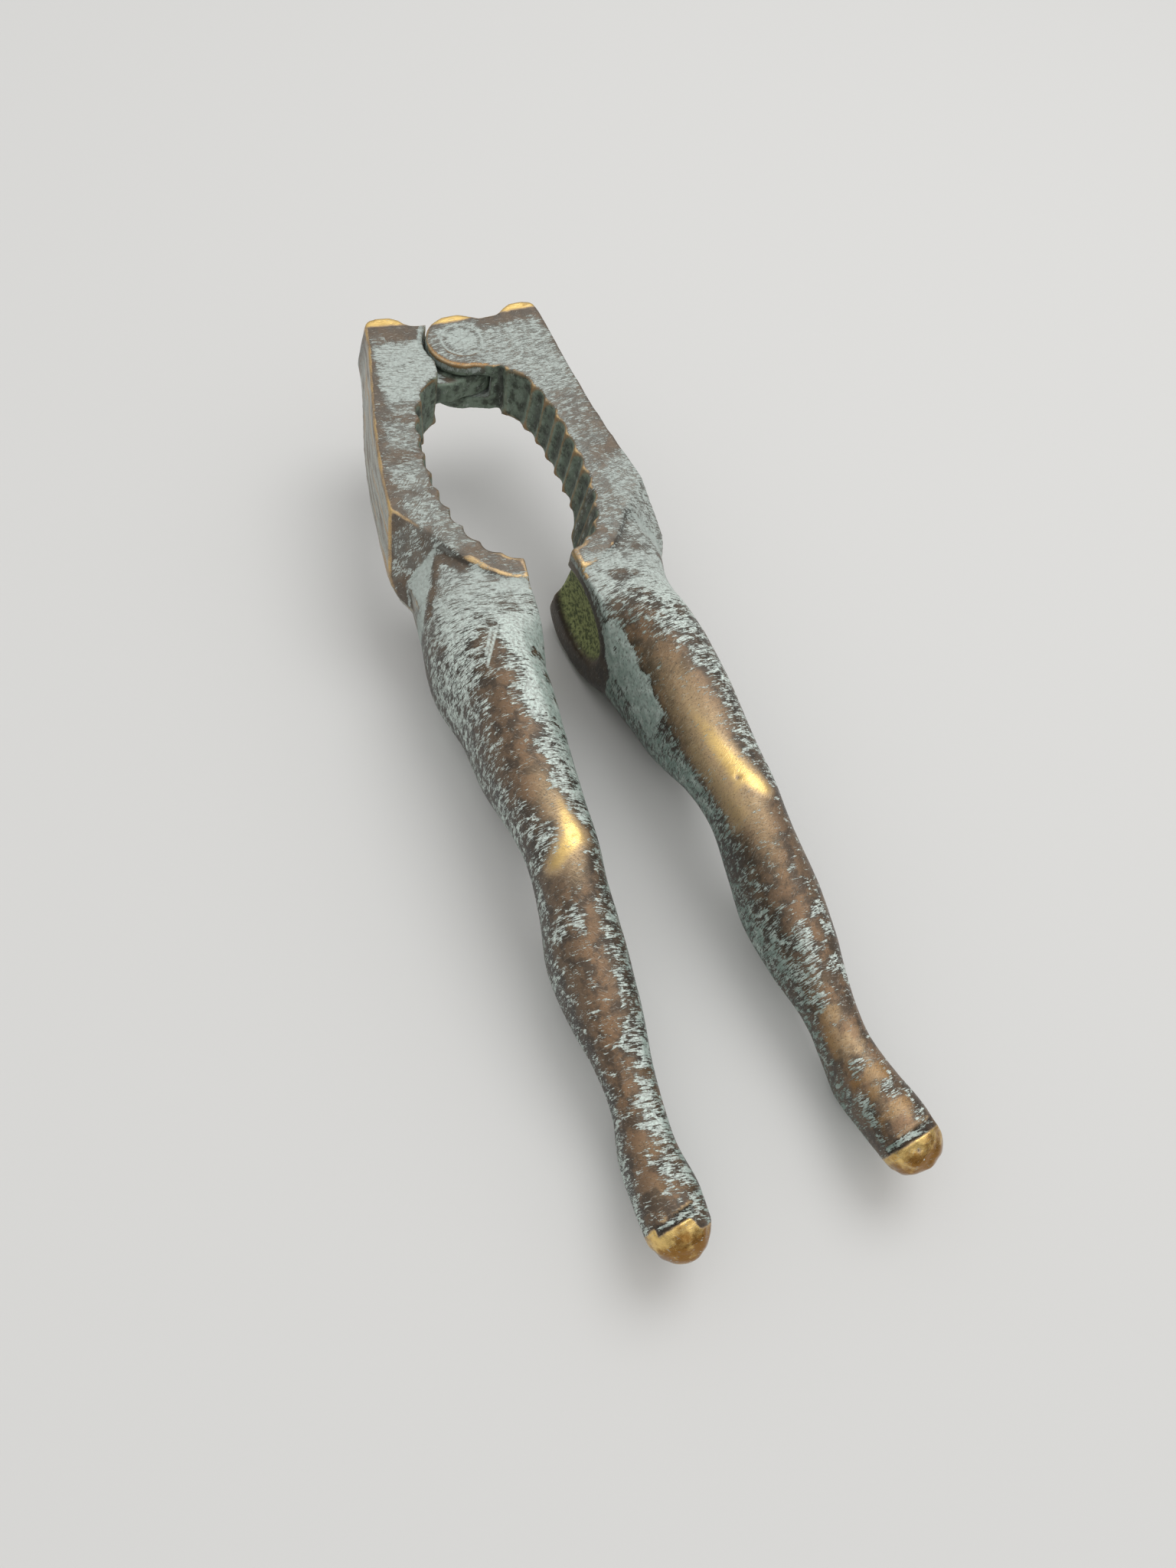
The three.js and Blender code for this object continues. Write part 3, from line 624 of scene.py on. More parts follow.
def bright_metal(s, walls):
    """Where the bronze is worn bright or orange, where it is coppery with a painted sheen, and where the
    brass is tarnished.
    """
    off = s.off_shoe
    shift = CAP_SHIFT * grow(-s.x, *CAP_SHIFT_X) - CAP_RETURN * (s.x > CAP_RETURN_X)
    cap = grow(off - (s.side == LEFT) * shift, *CAP_EDGE)
    worn = strokes_along(s.x, s.along, KNEE[s.side]) * grow(s.nz, *KNEE_FACING)
    worn *= 1.0 - FOOT_DULL * grow(s.along, *FOOT_START) * fade(s.blotches, *FOOT_BLOTCHES)
    groove = band(off, *GROOVE_DARK) * band(s.x, *s.groove_reach, GROOVE_DARK_ENDS) * s.front
    lips = band(-off, *GROOVE_LIP) * band(s.x, *s.groove_reach, GROOVE_LIP_ENDS) * s.front
    lips *= grow(s.noise(*GROOVE_LIP_NOISE), *GROOVE_LIP_PATCHY)
    bumps = grow(s.y + BUMPS_WOBBLE * s.wobble_y, *BUMPS_START[s.side])
    bumps = np.maximum(bumps, walls.top)
    bumps *= 1.0 - BUMPS_BACK_DULL * grow(-s.z + s.wobble_x, *BUMPS_BACK)
    bumps *= 1.0 - s.upright * grow(s.x, *BUMPS_OUTER)
    rims, orange = worn_rims(s, walls)
    for place in (cap, GROOVE_LIP_BRIGHT * lips, bumps, rims):
        worn = np.maximum(worn, place)
    for x, along, radius, _ in PITS[s.side]:
        if radius < DULL_PIT_RADIUS:
            worn = worn * (1.0 - DULL_PIT * blob(s.p, x, along, DULL_PIT_SHARE * radius))
    rusty = RUST * grow(s.blotches, *RUST_BLOTCHES)
    rusty *= band(s.along, *RUST_ALONG) * band(s.x, *RUST_X) * s.front * RUST_SIDE[s.side]
    tarnish = TARNISH_CAP + TARNISH_MORE_RIGHT * (s.side == RIGHT)
    tarnish = cap * (tarnish + TARNISH_TIP * grow(off, *TARNISH_ALONG))
    # Coppery metal with a painted sheen along the fronts of the legs
    copper_sheen = strokes_along(s.x, s.along, COPPER_SHEEN[s.side]) * s.front
    return SimpleNamespace(worn=worn, orange=np.maximum(orange, rusty), copper_sheen=copper_sheen,
                           tarnish=tarnish, groove=groove)


# Density of the pale patina on the front of each leg: strength, x range and range along the leg
PATINA = {
    LEFT: (
        (0.86, 5.8, 14.6, 0.4, 12.6), (0.5, 13.5, 16.2, -2.2, 2), (0.58, 7.5, 15, 12.5, 16.2),
        (0.64, 12.6, 16.4, 18.6, 22.4), (0.4, 11, 17.6, 14, 41), (0.66, 12.4, 17, 26.6, 31),
        (0.64, 12, 16.2, 33, 39.4), (0.58, 8.2, 13, 36.5, 43), (0.42, 1, 8, 45.4, 49.4),
        (0.56, 14.8, 19.6, 38, 43), (1, 0, 6.5, 51.2, 57.5), (0.82, 4.5, 14.2, 51, 69),
        (0.76, 6.5, 13.4, 47.6, 54), (0.7, 11, 15.6, 46.5, 58), (0.98, 0.2, 8.2, 57, 77),
        (0.8, 1, 6.2, 76, 94), (0.34, 7, 12.2, 67, 93), (0.54, 12.2, 19, 54, 74),
        (0.38, 12.2, 19, 72, 96), (0.6, 8.3, 11.4, 89, 98.5), (0.56, 0.8, 3.8, 96, 147),
        (0.7, 1, 5, 121, 142), (0.27, 6.8, 11.3, 104, 123), (0.62, 9, 11, 106, 109),
        (0.6, 6.8, 7.9, 105.2, 107.8), (0.24, 2, 9, 123, 145),
    ),
    RIGHT: (
        (0.56, -5.8, 3.5, -3.6, 5.2), (0.86, -2.9, 3, -2.9, 2.9), (0.74, 1, 14.2, -0.8, 27.5),
        (0.7, 1, 13, 26, 31), (0.58, 7.5, 13.5, 28, 47), (0.74, 12.4, 18.6, 31.5, 50),
        (0.52, 0.6, 5.2, 45.2, 49.2), (0.86, -1, 14, 50.4, 63), (0.58, 6.8, 13.5, 62, 96),
        (0.8, 4.6, 9.5, 61, 69), (0.7, 6.8, 9.5, 68, 76), (0.9, -2, 1.4, 58, 72),
        (0.72, -2, 1, 72, 98), (0.52, -1, 1.4, 60, 122), (0.75, -2, 0.5, 120, 147),
        (0.62, 1.8, 4.3, 116, 127.5), (0.8, 7.5, 8.6, 117, 118.2), (0.66, 6.3, 7.3, 121.5, 124.5),
        (0.62, 6.3, 8.2, 114.2, 115.6), (0.62, 2.8, 4.8, 134.6, 137.4), (0.72, 4.2, 5.2, 138.3, 139.7),
        (0.6, 4.2, 6.3, 140.6, 144.4), (0.3, 8, 11, 96, 112), (0.25, 2, 9, 98, 146),
        (0.4, 1.5, 7, 62, 88),
    ),
}

# Gaps in it, where the brown metal shows
BARE = {
    LEFT: (
        (0.25, 1, 2.6, 55, 56.6), (0.3, 4.6, 5.8, 54.4, 57.4), (0.25, 8.2, 9.8, 57.6, 61.4),
        (0.35, 8.5, 11, 64, 70), (0.66, 3, 3.5, 65.8, 66.3), (0.62, 2.2, 2.5, 69.9, 70.2),
        (0.62, 1.9, 2.2, 72.9, 73.2), (0.5, 8.8, 10.6, 63, 84), (0.5, 7.8, 9.6, 80, 92),
    ),
    RIGHT: (
        (0.3, 11.6, 15, 17, 31), (0.5, 4.6, 8.4, 54, 54.6), (0.4, 2.2, 5.8, 59.5, 64),
        (0.55, 2, 4.4, 64, 72), (0.62, 2.1, 5.6, 70, 97), (0.55, 5, 6.6, 76, 97),
    ),
}
BARE_WOBBLE, BARE_SPREAD = 0.7, 1.7

# White scratches across the left thigh, from place to place, and the distance stored as 1
SCRATCHES = (((7.8, 60.8), (11.0, 67.8)), ((8.9, 61.2), (10.8, 66.0)))
SCRATCH_REACH = 2.0

# Patina on the back and the sides
BACKWARD = -0.3
BEHIND, BEHIND_NOISE = 0.66, ((0.25, 0.09, 41), (0.15, 0.3, 42))
SIDE_INNER, SIDE_OUTER, SIDE_NOISE = 0.68, 0.52, ((0.3, 0.16, 43),)
SIDE_FOOT_LESS, SIDE_FOOT = 0.28, (118.0, 127.0)

# Dense patina on the flank, the outer hip, the seam of the hinge, the toe groove and the inner thigh
STRIP_BARE, FLANK_PALE = 0.6, 0.98
OUTER_HIP_X, OUTER_HIP_ALONG, OUTER_HIP_FACING = (12.8, 19.0, 0.8), (32.0, 49.0, 2.0), (-0.2, 0.1)
OUTER_HIP_PALE, SEAM_PALE, OUTER_WALL_BARE = 0.64, 0.9, 0.75
FILLING, FILLING_WOBBLE, FILLING_PALE = (-0.24, 0.24, 0.16), 0.1, 0.95
FILLING_NOISE, FILLING_PATCHY, FILLING_RIGHT_X = (0.8, 63), (-0.5, 0.1), (4.4, 5.4)
MINT_ALONG, MINT_LEVEL, MINT_WOBBLE, MINT_PALE = (61.5, 78.0, 2.5), (-8.5, -1.0, 0.8), 0.6, 0.96

# Mottled film, slanted strokes and the teal tint
MOTTLED_FRAME, MOTTLED_END = 0.8, (13.0, 32.0)
SLANTED_X, SLANTED_ALONG = (12.0, 19.0, 1.0), (30.0, 50.0, 2.0)
TEAL_FLANK, TEAL_SEAM, TEAL_INNER = 0.5, 0.8, 0.75
TEAL_SIDE, TEAL_GROOVE, TEAL_MINT_LESS = 0.25, 0.4, 0.2


def patina(s, walls, thigh, metal):
    """How dense the pale patina is, and where it is mottled, slanted or teal."""
    pale = patches(s.x + s.wobble_x, s.along + s.wobble_y, PATINA[s.side])
    bare_x, bare_along = s.x + BARE_WOBBLE * s.wobble_x, s.along + BARE_WOBBLE * s.wobble_y
    pale *= 1.0 - patches(bare_x, bare_along, BARE[s.side], BARE_SPREAD)
    behind = BEHIND + layered_noise(s.p, BEHIND_NOISE)
    inner_side = SIDE_INNER - (s.side == RIGHT) * SIDE_FOOT_LESS * grow(s.along, *SIDE_FOOT)
    beside = np.where(s.nx < 0, inner_side, SIDE_OUTER) + layered_noise(s.p, SIDE_NOISE)
    pale = s.front * pale + (1.0 - s.front) * np.where(s.nz < BACKWARD, behind, beside)
    pale = np.maximum(pale * (1.0 - STRIP_BARE * thigh.strip), FLANK_PALE * thigh.flank)
    hip = (s.side == RIGHT) * band(s.x, *OUTER_HIP_X) * band(s.along, *OUTER_HIP_ALONG)
    hip = hip * grow(s.nz, *OUTER_HIP_FACING)
    pale = np.maximum(np.maximum(pale, OUTER_HIP_PALE * hip), SEAM_PALE * walls.seam)
    pale *= (1.0 - walls.jaw) * (1.0 - thigh.mating) * (1.0 - OUTER_WALL_BARE * walls.outer)
    pale *= 1.0 - np.clip(metal.worn + metal.orange, 0, 1)
    filling = band(s.off_shoe + FILLING_WOBBLE * s.wobble_y, *FILLING) * metal.groove
    filling *= grow(s.noise(*FILLING_NOISE), *FILLING_PATCHY)
    filling *= 1.0 - (s.side == RIGHT) * grow(s.x, *FILLING_RIGHT_X)
    mint = (s.side == RIGHT) * s.inner * band(s.along, *MINT_ALONG)
    mint = mint * band(s.z + MINT_WOBBLE * s.wobble_y, *MINT_LEVEL)
    pale = np.maximum(pale, FILLING_PALE * filling)
    pale = np.maximum(pale, MINT_PALE * mint * (1.0 - thigh.mating))
    pale *= 1.0 - np.maximum(walls.tongue, walls.under)
    mottled = (1.0 - s.shank) * MOTTLED_FRAME * fade(s.along, *MOTTLED_END)
    mottled = np.clip(mottled + walls.seam + thigh.flank, 0.0, 1.0)
    teal = thigh.flank * TEAL_FLANK + walls.seam * TEAL_SEAM + s.inner * s.shank * TEAL_INNER
    teal = teal + TEAL_SIDE * (1 - s.front) + TEAL_GROOVE * metal.groove - TEAL_MINT_LESS * mint
    slanted = band(s.x, *SLANTED_X) * band(s.along, *SLANTED_ALONG)
    return {"pale": pale, "mottled": np.maximum(mottled, mint), "teal": teal, "slanted": slanted}


# Dirt, verdigris, age, and painted shade on the sides of the shanks, under the lip and deep between the
# legs
FORK_GREEN = 0.9
CREST_HEIGHT, CREST_RADIUS = (0.1, 0.24), (9.0, 12.0)
# Darker where the surface is hollow
HOLLOW_FULL, HOLLOW_DARK, HOLLOW_SHANK_LESS, HOLLOW_HIPS_LESS = 0.05, 0.8, 0.7, 0.7
HIPS_ALONG = (36.0, 56.0, 3.0)
# Painted shade deep on the mating face between the legs
MATING_LOW, MATING_SHADE = (12.0, 17.0), 0.55
# Painted shadow on the step wall under the lip
STEP_FACING, STEP_ALONG, STEP_X = (0.25, 0.5), (40.0, 50.0, 1.0), (5.0, 13.0, 1.0)
STEP_LEVEL, STEP_SHADOW, GROOVE_GRIME = (-3.0, -2.0), 0.65, 0.85
# Painted shade: the sides of the shanks darken as they turn away from the front
SIDE_SHADE, SIDE_SHADE_START, SIDE_SHADE_INNER, SIDE_SHADE_OUTER = 0.75, -0.05, 0.35, 0.7
# Less darkening and painted shade on the right foot
FOOT_LIGHTER, FOOT_LIGHTER_START = 0.6, (117.0, 126.0)
AGED_END = (48.0, 66.0)


def dirt(s, walls, thigh, metal):
    """Where verdigris, dark grime, painted shade and age lie."""
    green = walls.jaw + walls.tongue + walls.under + FORK_GREEN * walls.fork * (1.0 - metal.orange)
    crest = grow(s.ridge, *CREST_HEIGHT) * walls.jaw * grow(s.radius, *CREST_RADIUS)
    # Darker where the surface is hollow, less so on the shanks and the hips
    hollow = np.clip(-s.edge / HOLLOW_FULL, 0.0, 1.0)
    hips = band(s.along, *HIPS_ALONG) * s.front
    grime = HOLLOW_DARK * hollow * (1.0 - HOLLOW_SHANK_LESS * s.shank)
    grime *= 1.0 - HOLLOW_HIPS_LESS * hips
    # Painted shade deep on the mating face between the legs
    grime += MATING_SHADE * thigh.mating * grow(-s.z, *MATING_LOW)
    # Painted shadow on the step wall under the lip
    step = grow(-s.ny, *STEP_FACING) * band(s.along, *STEP_ALONG) * band(s.x, *STEP_X)
    step *= grow(s.z, *STEP_LEVEL)
    # Painted shade on the sides of the shanks, where they turn away from the light
    side_end = np.where(s.nx < 0, SIDE_SHADE_INNER, SIDE_SHADE_OUTER)
    beside = s.shank * fade(s.nz, SIDE_SHADE_START, side_end)
    for place in (STEP_SHADOW * step, GROOVE_GRIME * metal.groove, SIDE_SHADE * beside):
        grime = np.maximum(grime, place)
    # The right foot keeps less of the darkening and painted shade, except in the groove
    lighter_foot = (s.side == RIGHT) * grow(s.along, *FOOT_LIGHTER_START) * (1.0 - metal.groove)
    grime *= 1.0 - FOOT_LIGHTER * lighter_foot
    return {"green": green, "crest": crest, "grime": grime, "aged": fade(s.along, *AGED_END)}


def paint(mesh, net, side):
    """Store the looks of a leg on its mesh."""
    s = Surface(mesh, net, side)
    walls = frame_walls(s)
    thigh = thigh_faces(s)
    metal = bright_metal(s, walls)
    off_scratch = np.ones(len(s.p))
    if side == LEFT:
        offs = [off_line(s.x, s.along, start, end)[1] for start, end in SCRATCHES]
        off_scratch = np.where(s.front > 0.5, np.minimum(*offs) / SCRATCH_REACH, 1.0)
    looks = {
        "worn": metal.worn, "tarnish": metal.tarnish, "orange": metal.orange, "copper_sheen": metal.copper_sheen,
        "moss": thigh.moss, "streak": walls.outer, "off_scratch": off_scratch,
        **patina(s, walls, thigh, metal), **dirt(s, walls, thigh, metal),
    }
    set_looks(mesh, s.p, side, looks)


# The rivet, peened flush over both faces of the fork: radius and height over the face
RIVET_HEAD = (
    (0.0, 0.07), (1.2, 0.07), (2.3, 0.06), (2.75, 0.05), (2.95, -0.02), (3.15, 0.04), (3.5, 0.03),
    (3.72, 0.0), (3.8, -0.12), (3.6, -0.4), (2.45, -1.3), (2.4, -2.4),
)
RIVET_SIDES = 72
RIVET_RING = (2.8, 3.1, 0.2)
RIVET_PALE, RIVET_RING_BARE, RIVET_RING_GRIME, RIVET_TEAL = 0.9, 0.3, 0.25, 0.1


def build_rivet(name):
    rim = list(RIVET_HEAD) + [(r, -ARM_DEPTH - h) for r, h in reversed(RIVET_HEAD)]
    turns = [2 * math.pi * i / RIVET_SIDES for i in range(RIVET_SIDES)]
    work = bmesh.new()
    rings = []
    for r, h in rim:
        if r == 0.0:
            rings.append([work.verts.new((0.0, 0.0, h))] * RIVET_SIDES)
        else:
            rings.append([work.verts.new((r * math.cos(t), r * math.sin(t), h)) for t in turns])
    for upper, lower in zip(rings, rings[1:]):
        for i in range(RIVET_SIDES):
            j = (i + 1) % RIVET_SIDES
            corners = dict.fromkeys((upper[i], lower[i], lower[j], upper[j]))
            work.faces.new(list(corners))
    bmesh.ops.recalc_face_normals(work, faces=work.faces)
    mesh = bpy.data.meshes.new(name)
    work.to_mesh(mesh)
    work.free()
    p = vectors(mesh, "co")
    ring = band(np.hypot(p[:, 0], p[:, 1]), *RIVET_RING)
    zeros = np.zeros(len(p))
    looks = dict.fromkeys(LOOKS, zeros)
    looks.update(dict.fromkeys(("mottled", "aged", "off_scratch"), zeros + 1.0))
    looks["pale"] = zeros + RIVET_PALE - RIVET_RING_BARE * ring
    looks["teal"] = zeros + RIVET_TEAL
    looks["grime"] = RIVET_RING_GRIME * ring
    set_looks(mesh, p, RIGHT, looks)
    return finished(name, mesh, RIGHT)


# Materials. Strokes and hatching: turn in degrees and scale; noise: scale, detail and roughness
STROKES, STROKES_LESS, STROKES_CHANCE = (4.0, (0.85, 6.8, 0.85)), 0.1, 0.55
HATCHING, SLANT = (-3.0, (0.95, 7.0, 0.95)), (48.0, (0.75, 5.6, 0.9))
HATCH_GRAIN, HATCH_BAR, HATCH_SLOPE, HATCH_SHARP = (1.0, 3.0, 0.68), 0.795, 0.5, 2.5
SCORED, SCORED_GRAIN = (-4.0, (0.6, 6.0, 0.6)), (1.0, 2.0, 0.6)
SCRATCH_TURNS, SCRATCH_SCALE, SCRATCH_GRAIN = (12.0, -38.0), (0.8, 6.0, 0.8), (1.0, 2.0, 0.7)
SCRATCH_LEVEL = 0.07
WARP_SCALE, WARP_REACH = 0.7, 0.35
MOTTLE, CLOUD, TONE = (1.7, 4.0, 0.62), (0.6, 4.0, 0.65), (0.35, 4.0, 0.6)
FLECK, PORES = (2.4, 2.0, 0.6), (4.2, 2.0, 0.7)
CLUMP, CLUMP_SHARE = (0.42, 3.0, 0.6), 0.45
RAGGED, RAGGED_SHARE = (3.6, 2.0, 0.6), 0.35
TUFT_SCALE, TUFT = (0.6, 1.25, 0.6), (1.0, 3.0, 0.65)
STREAK_SCALE, STREAK_GRAIN, STREAK_SHARE = (0.0, 0.07, 0.75), (1.0, 3.0, 0.7), 0.85

# Pairs for the legs and for the frame
TUFT_SHARE, UNEVEN_MEAN = (2.5, 1.5), (1.62, 1.13)

# Ramps: where each starts and ends, and its values there if they aren't 0 and 1
WEAR_ROUGH, WEAR_GILT, WEAR_BRASS, WEAR_BRIGHT = (0.05, 0.4), (0.05, 0.45), (0.35, 0.95), (0.3, 0.85)
WORN_CLEAN, WORN_GRIME_AND_SHADE = (0.3, 0.7, 1.0, 0.0), (0.3, 0.7, 0.85, 0.0)
PALE_DENSER, PALE_CLOSED = (0.7, 1.0, 0.0, 0.18), (0.75, 1.0, 1.0, 0.55)
PALE_DIRT, PALE_VEIL = (0.25, 0.9), (0.3, 0.9, 0.0, 0.35)
SCORED_GAPS, WHITE_LINE = (0.36, 0.49, 0.75, 0.0), (0.05, 0.17, 1.0, 0.0)
COVER_EDGE, COVER_MOTTLE, RELIEF_EDGE = (-0.06, 0.12), (0.3, 0.55, 0.6, 1.0), (-0.05, 0.12)
BROWN_TONE, COPPER_TONE, AGED_TONE = (0.4, 0.58), (0.42, 0.57, 0.2, 1.0), (0.3, 0.6, 0.9, 0.5)
COPPER_SCRATCH, GREY_SCRATCH = (0.5, 0.7), (0.55, 0.68, 0.0, 0.55)
STREAK_GREY, STREAK_GILT = (0.34, 0.56), (0.54, 0.62)
PORE_DIRT, STAIN_AMBER = (0.3, 0.46, 0.6, 0.0), (0.52, 0.88)
RUST_GREEN, RUST_TEAL, MOSS_SPECKLE = (0.34, 0.6), (0.56, 0.72, 0.0, 0.5), (0.36, 0.62)
FLECK_PALE, CLOUD_TEAL = (0.36, 0.6), (0.35, 0.6, 0.4, 1.0)

# Levels and shares
FILM_BAR, FILM_SLOPE, FILM_SHARP = 0.82, 0.4, 3.0
ROUGH_WEAR, ROUGH_WEAR_LEVEL = 0.7, 0.5
COPPER_SHARE, WHITE, STAIN, CREST_SHARE, DIRTY_DULL = 0.5, 0.85, 0.42, 0.85, 0.85
UNDER_DIRT, FRAME_FILM, FRAME_CLEAN = 0.8, 0.65, 0.7
METALLIC = (0.55, 1.0)
ROUGHNESS_DULL, ROUGHNESS_TARNISH = 0.74, 0.16
ROUGHNESS_METAL, ROUGHNESS_BRIGHT = (0.36, 0.5), (0.26, 0.4)
BUMP_STRENGTH, BUMP_DISTANCE = 0.75, 0.07 * MM
BUMP_PATINA, BUMP_SCRATCH, BUMP_ROUGH = 0.7, 1.1, (0.3, 1.6)


class Nodes:
    """Short names for the nodes of one material or world."""

    def __init__(self, owner):
        self.owner = owner
        owner.use_nodes = True
        self.tree = owner.node_tree

    def make(self, kind, inputs, **settings):
        node = self.tree.nodes.new(kind)
        for key, value in settings.items():
            setattr(node, key, value)
        self.feed(node, inputs)
        return node

    def feed(self, node, inputs):
        """Put a value or a link on each of a node's inputs."""
        for key, value in inputs.items():
            if isinstance(value, bpy.types.NodeSocket):
                self.tree.links.new(value, node.inputs[key])
            else:
                node.inputs[key].default_value = value

    def attribute(self, name, output="Fac"):
        return self.make("ShaderNodeAttribute", {}, attribute_name=name).outputs[output]

    def math(self, operation, a, b):
        return self.make("ShaderNodeMath", {0: a, 1: b}, operation=operation).outputs[0]

    def plus(self, a, b):
        return self.math("ADD", a, b)

    def minus(self, a, b):
        return self.math("SUBTRACT", a, b)

    def times(self, a, b):
        return self.math("MULTIPLY", a, b)

    def larger(self, a, b):
        return self.math("MAXIMUM", a, b)

    def scaled(self, vector, scale):
        node = self.make("ShaderNodeVectorMath", {0: vector, 1: scale}, operation="MULTIPLY")
        return node.outputs[0]

    def turned(self, vector, degrees, scale):
        """A vector turned about Z and then scaled."""
        inputs = {"Vector": vector, "Angle": math.radians(degrees)}
        node = self.make("ShaderNodeVectorRotate", inputs, rotation_type="Z_AXIS")
        return self.scaled(node.outputs[0], scale)

    def noise(self, vector, scale, detail, roughness):
        inputs = {"Vector": vector, "Scale": scale, "Detail": detail, "Roughness": roughness}
        return self.make("ShaderNodeTexNoise", inputs).outputs["Fac"]

    def warped(self, vector, scale, reach):
        """A vector drawn off its place by smooth noise."""
        noise = self.make("ShaderNodeTexNoise", {"Vector": vector, "Scale": scale})
        inputs = {0: noise.outputs["Color"], 1: (2.0 * reach,) * 3, 2: vector}
        return self.make("ShaderNodeVectorMath", inputs, operation="MULTIPLY_ADD").outputs[0]

    def strokes(self, vector, degrees, scale, density):
        """Short strokes, over 0 inside, that thicken and join as their density grows."""
        inputs = {"Vector": self.turned(vector, degrees, scale), "Scale": 1.0}
        cell = self.make("ShaderNodeTexVoronoi", inputs)
        chance = self.make("ShaderNodeSeparateColor", {0: cell.outputs["Color"]})
        reach = self.minus(density, self.times(chance.outputs[0], STROKES_CHANCE))
        return self.minus(reach, cell.outputs["Distance"])

    def hatching(self, vector, degrees, scale, density):
        """Ragged hatching, over 0 inside, that closes up as its density grows."""
        grain = self.noise(self.turned(vector, degrees, scale), *HATCH_GRAIN)
        bar = self.minus(HATCH_BAR, self.times(density, HATCH_SLOPE))
        return self.times(self.minus(grain, bar), HATCH_SHARP)

    def ramp(self, value, low, high, bottom=0.0, top=1.0):
        """Smooth from bottom at low to top at high."""
        inputs = {"Value": value, "From Min": low, "From Max": high, "To Min": bottom, "To Max": top}
        node = self.make("ShaderNodeMapRange", inputs, interpolation_type="SMOOTHSTEP")
        return node.outputs["Result"]

    def blend(self, share, a, b, kind="FLOAT"):
        """A blend of two numbers."""
        inputs = {"Factor": share, "A": a, "B": b}
        return self.make("ShaderNodeMix", inputs, data_type=kind).outputs["Result"]

    def mix(self, share, a, b):
        """A blend of two colours."""
        a, b = [(*c, 1.0) if isinstance(c, tuple) else c for c in (a, b)]
        return self.blend(share, a, b, "RGBA")


def bronze_material():
    """The one material of both legs and the rivet, which reads their looks."""
    k = Nodes(bpy.data.materials.new("patinated_bronze"))
    at = SimpleNamespace(**{name: k.attribute(name) for name in LOOKS})
    at.place = k.attribute("place", "Vector")
    at.drawn = k.warped(at.place, WARP_SCALE, WARP_REACH)
    at.mottle, at.cloud, at.tone = [k.noise(at.place, *grain) for grain in (MOTTLE, CLOUD, TONE)]
    lines = [k.noise(k.turned(at.drawn, turn, SCRATCH_SCALE), *SCRATCH_GRAIN) for turn in SCRATCH_TURNS]
    at.scratch = k.minus(k.larger(*lines), SCRATCH_LEVEL)
    rough = k.times(k.minus(at.scratch, ROUGH_WEAR_LEVEL), ROUGH_WEAR)
    at.wear = k.plus(at.worn, k.times(rough, k.ramp(at.worn, *WEAR_ROUGH)))
    at.dirty = k.times(at.green, k.ramp(at.wear, *WORN_CLEAN))
    over, cover = patina_cover(k, at)
    dull = k.larger(k.larger(cover, at.moss), k.times(at.dirty, DIRTY_DULL))
    bright = k.ramp(at.wear, *WEAR_BRIGHT)
    polish = k.blend(at.tarnish, k.blend(at.scratch, *ROUGHNESS_BRIGHT), ROUGHNESS_TARNISH)
    shine = k.blend(bright, k.blend(at.tone, *ROUGHNESS_METAL), polish)
    k.feed(k.tree.nodes["Principled BSDF"], {
        "Base Color": covered_colour(k, at, cover),
        "Metallic": k.blend(dull, k.blend(bright, *METALLIC), 0.0),
        "Roughness": k.blend(dull, shine, ROUGHNESS_DULL),
        "Normal": relief(k, at, over),
    })
    return k.owner


def patina_cover(k, at):
    """Patina in short ragged strokes across the leg, slanted on the hip, mottled on the frame."""
    clump, ragged = k.noise(at.place, *CLUMP), k.noise(at.place, *RAGGED)
    tuft = k.noise(k.scaled(at.place, TUFT_SCALE), *TUFT)
    uneven = k.plus(k.times(clump, CLUMP_SHARE), k.times(ragged, RAGGED_SHARE))
    uneven = k.plus(uneven, k.times(tuft, k.blend(at.aged, *TUFT_SHARE)))
    density = k.plus(at.pale, k.minus(uneven, k.blend(at.aged, *UNEVEN_MEAN)))
    density = k.plus(density, k.ramp(at.pale, *PALE_DENSER))
    stroke = k.larger(k.strokes(at.drawn, *STROKES, k.minus(density, STROKES_LESS)),
                      k.hatching(at.drawn, *HATCHING, density))
    stroke = k.blend(at.slanted, stroke, k.hatching(at.drawn, *SLANT, density))
    film_bar = k.minus(FILM_BAR, k.times(at.pale, FILM_SLOPE))
    film = k.times(k.minus(at.mottle, film_bar), FILM_SHARP)
    film = k.plus(film, k.minus(at.mottled, 1.0))
    scored = k.noise(k.turned(at.place, *SCORED), *SCORED_GRAIN)
    gaps = k.times(k.ramp(scored, *SCORED_GAPS), k.ramp(at.pale, *PALE_CLOSED))
    over = k.minus(k.larger(stroke, film), gaps)
    cover = k.times(k.ramp(over, *COVER_EDGE), k.ramp(at.mottle, *COVER_MOTTLE))
    white = k.times(k.ramp(at.off_scratch, *WHITE_LINE), WHITE)
    return over, k.larger(cover, white)


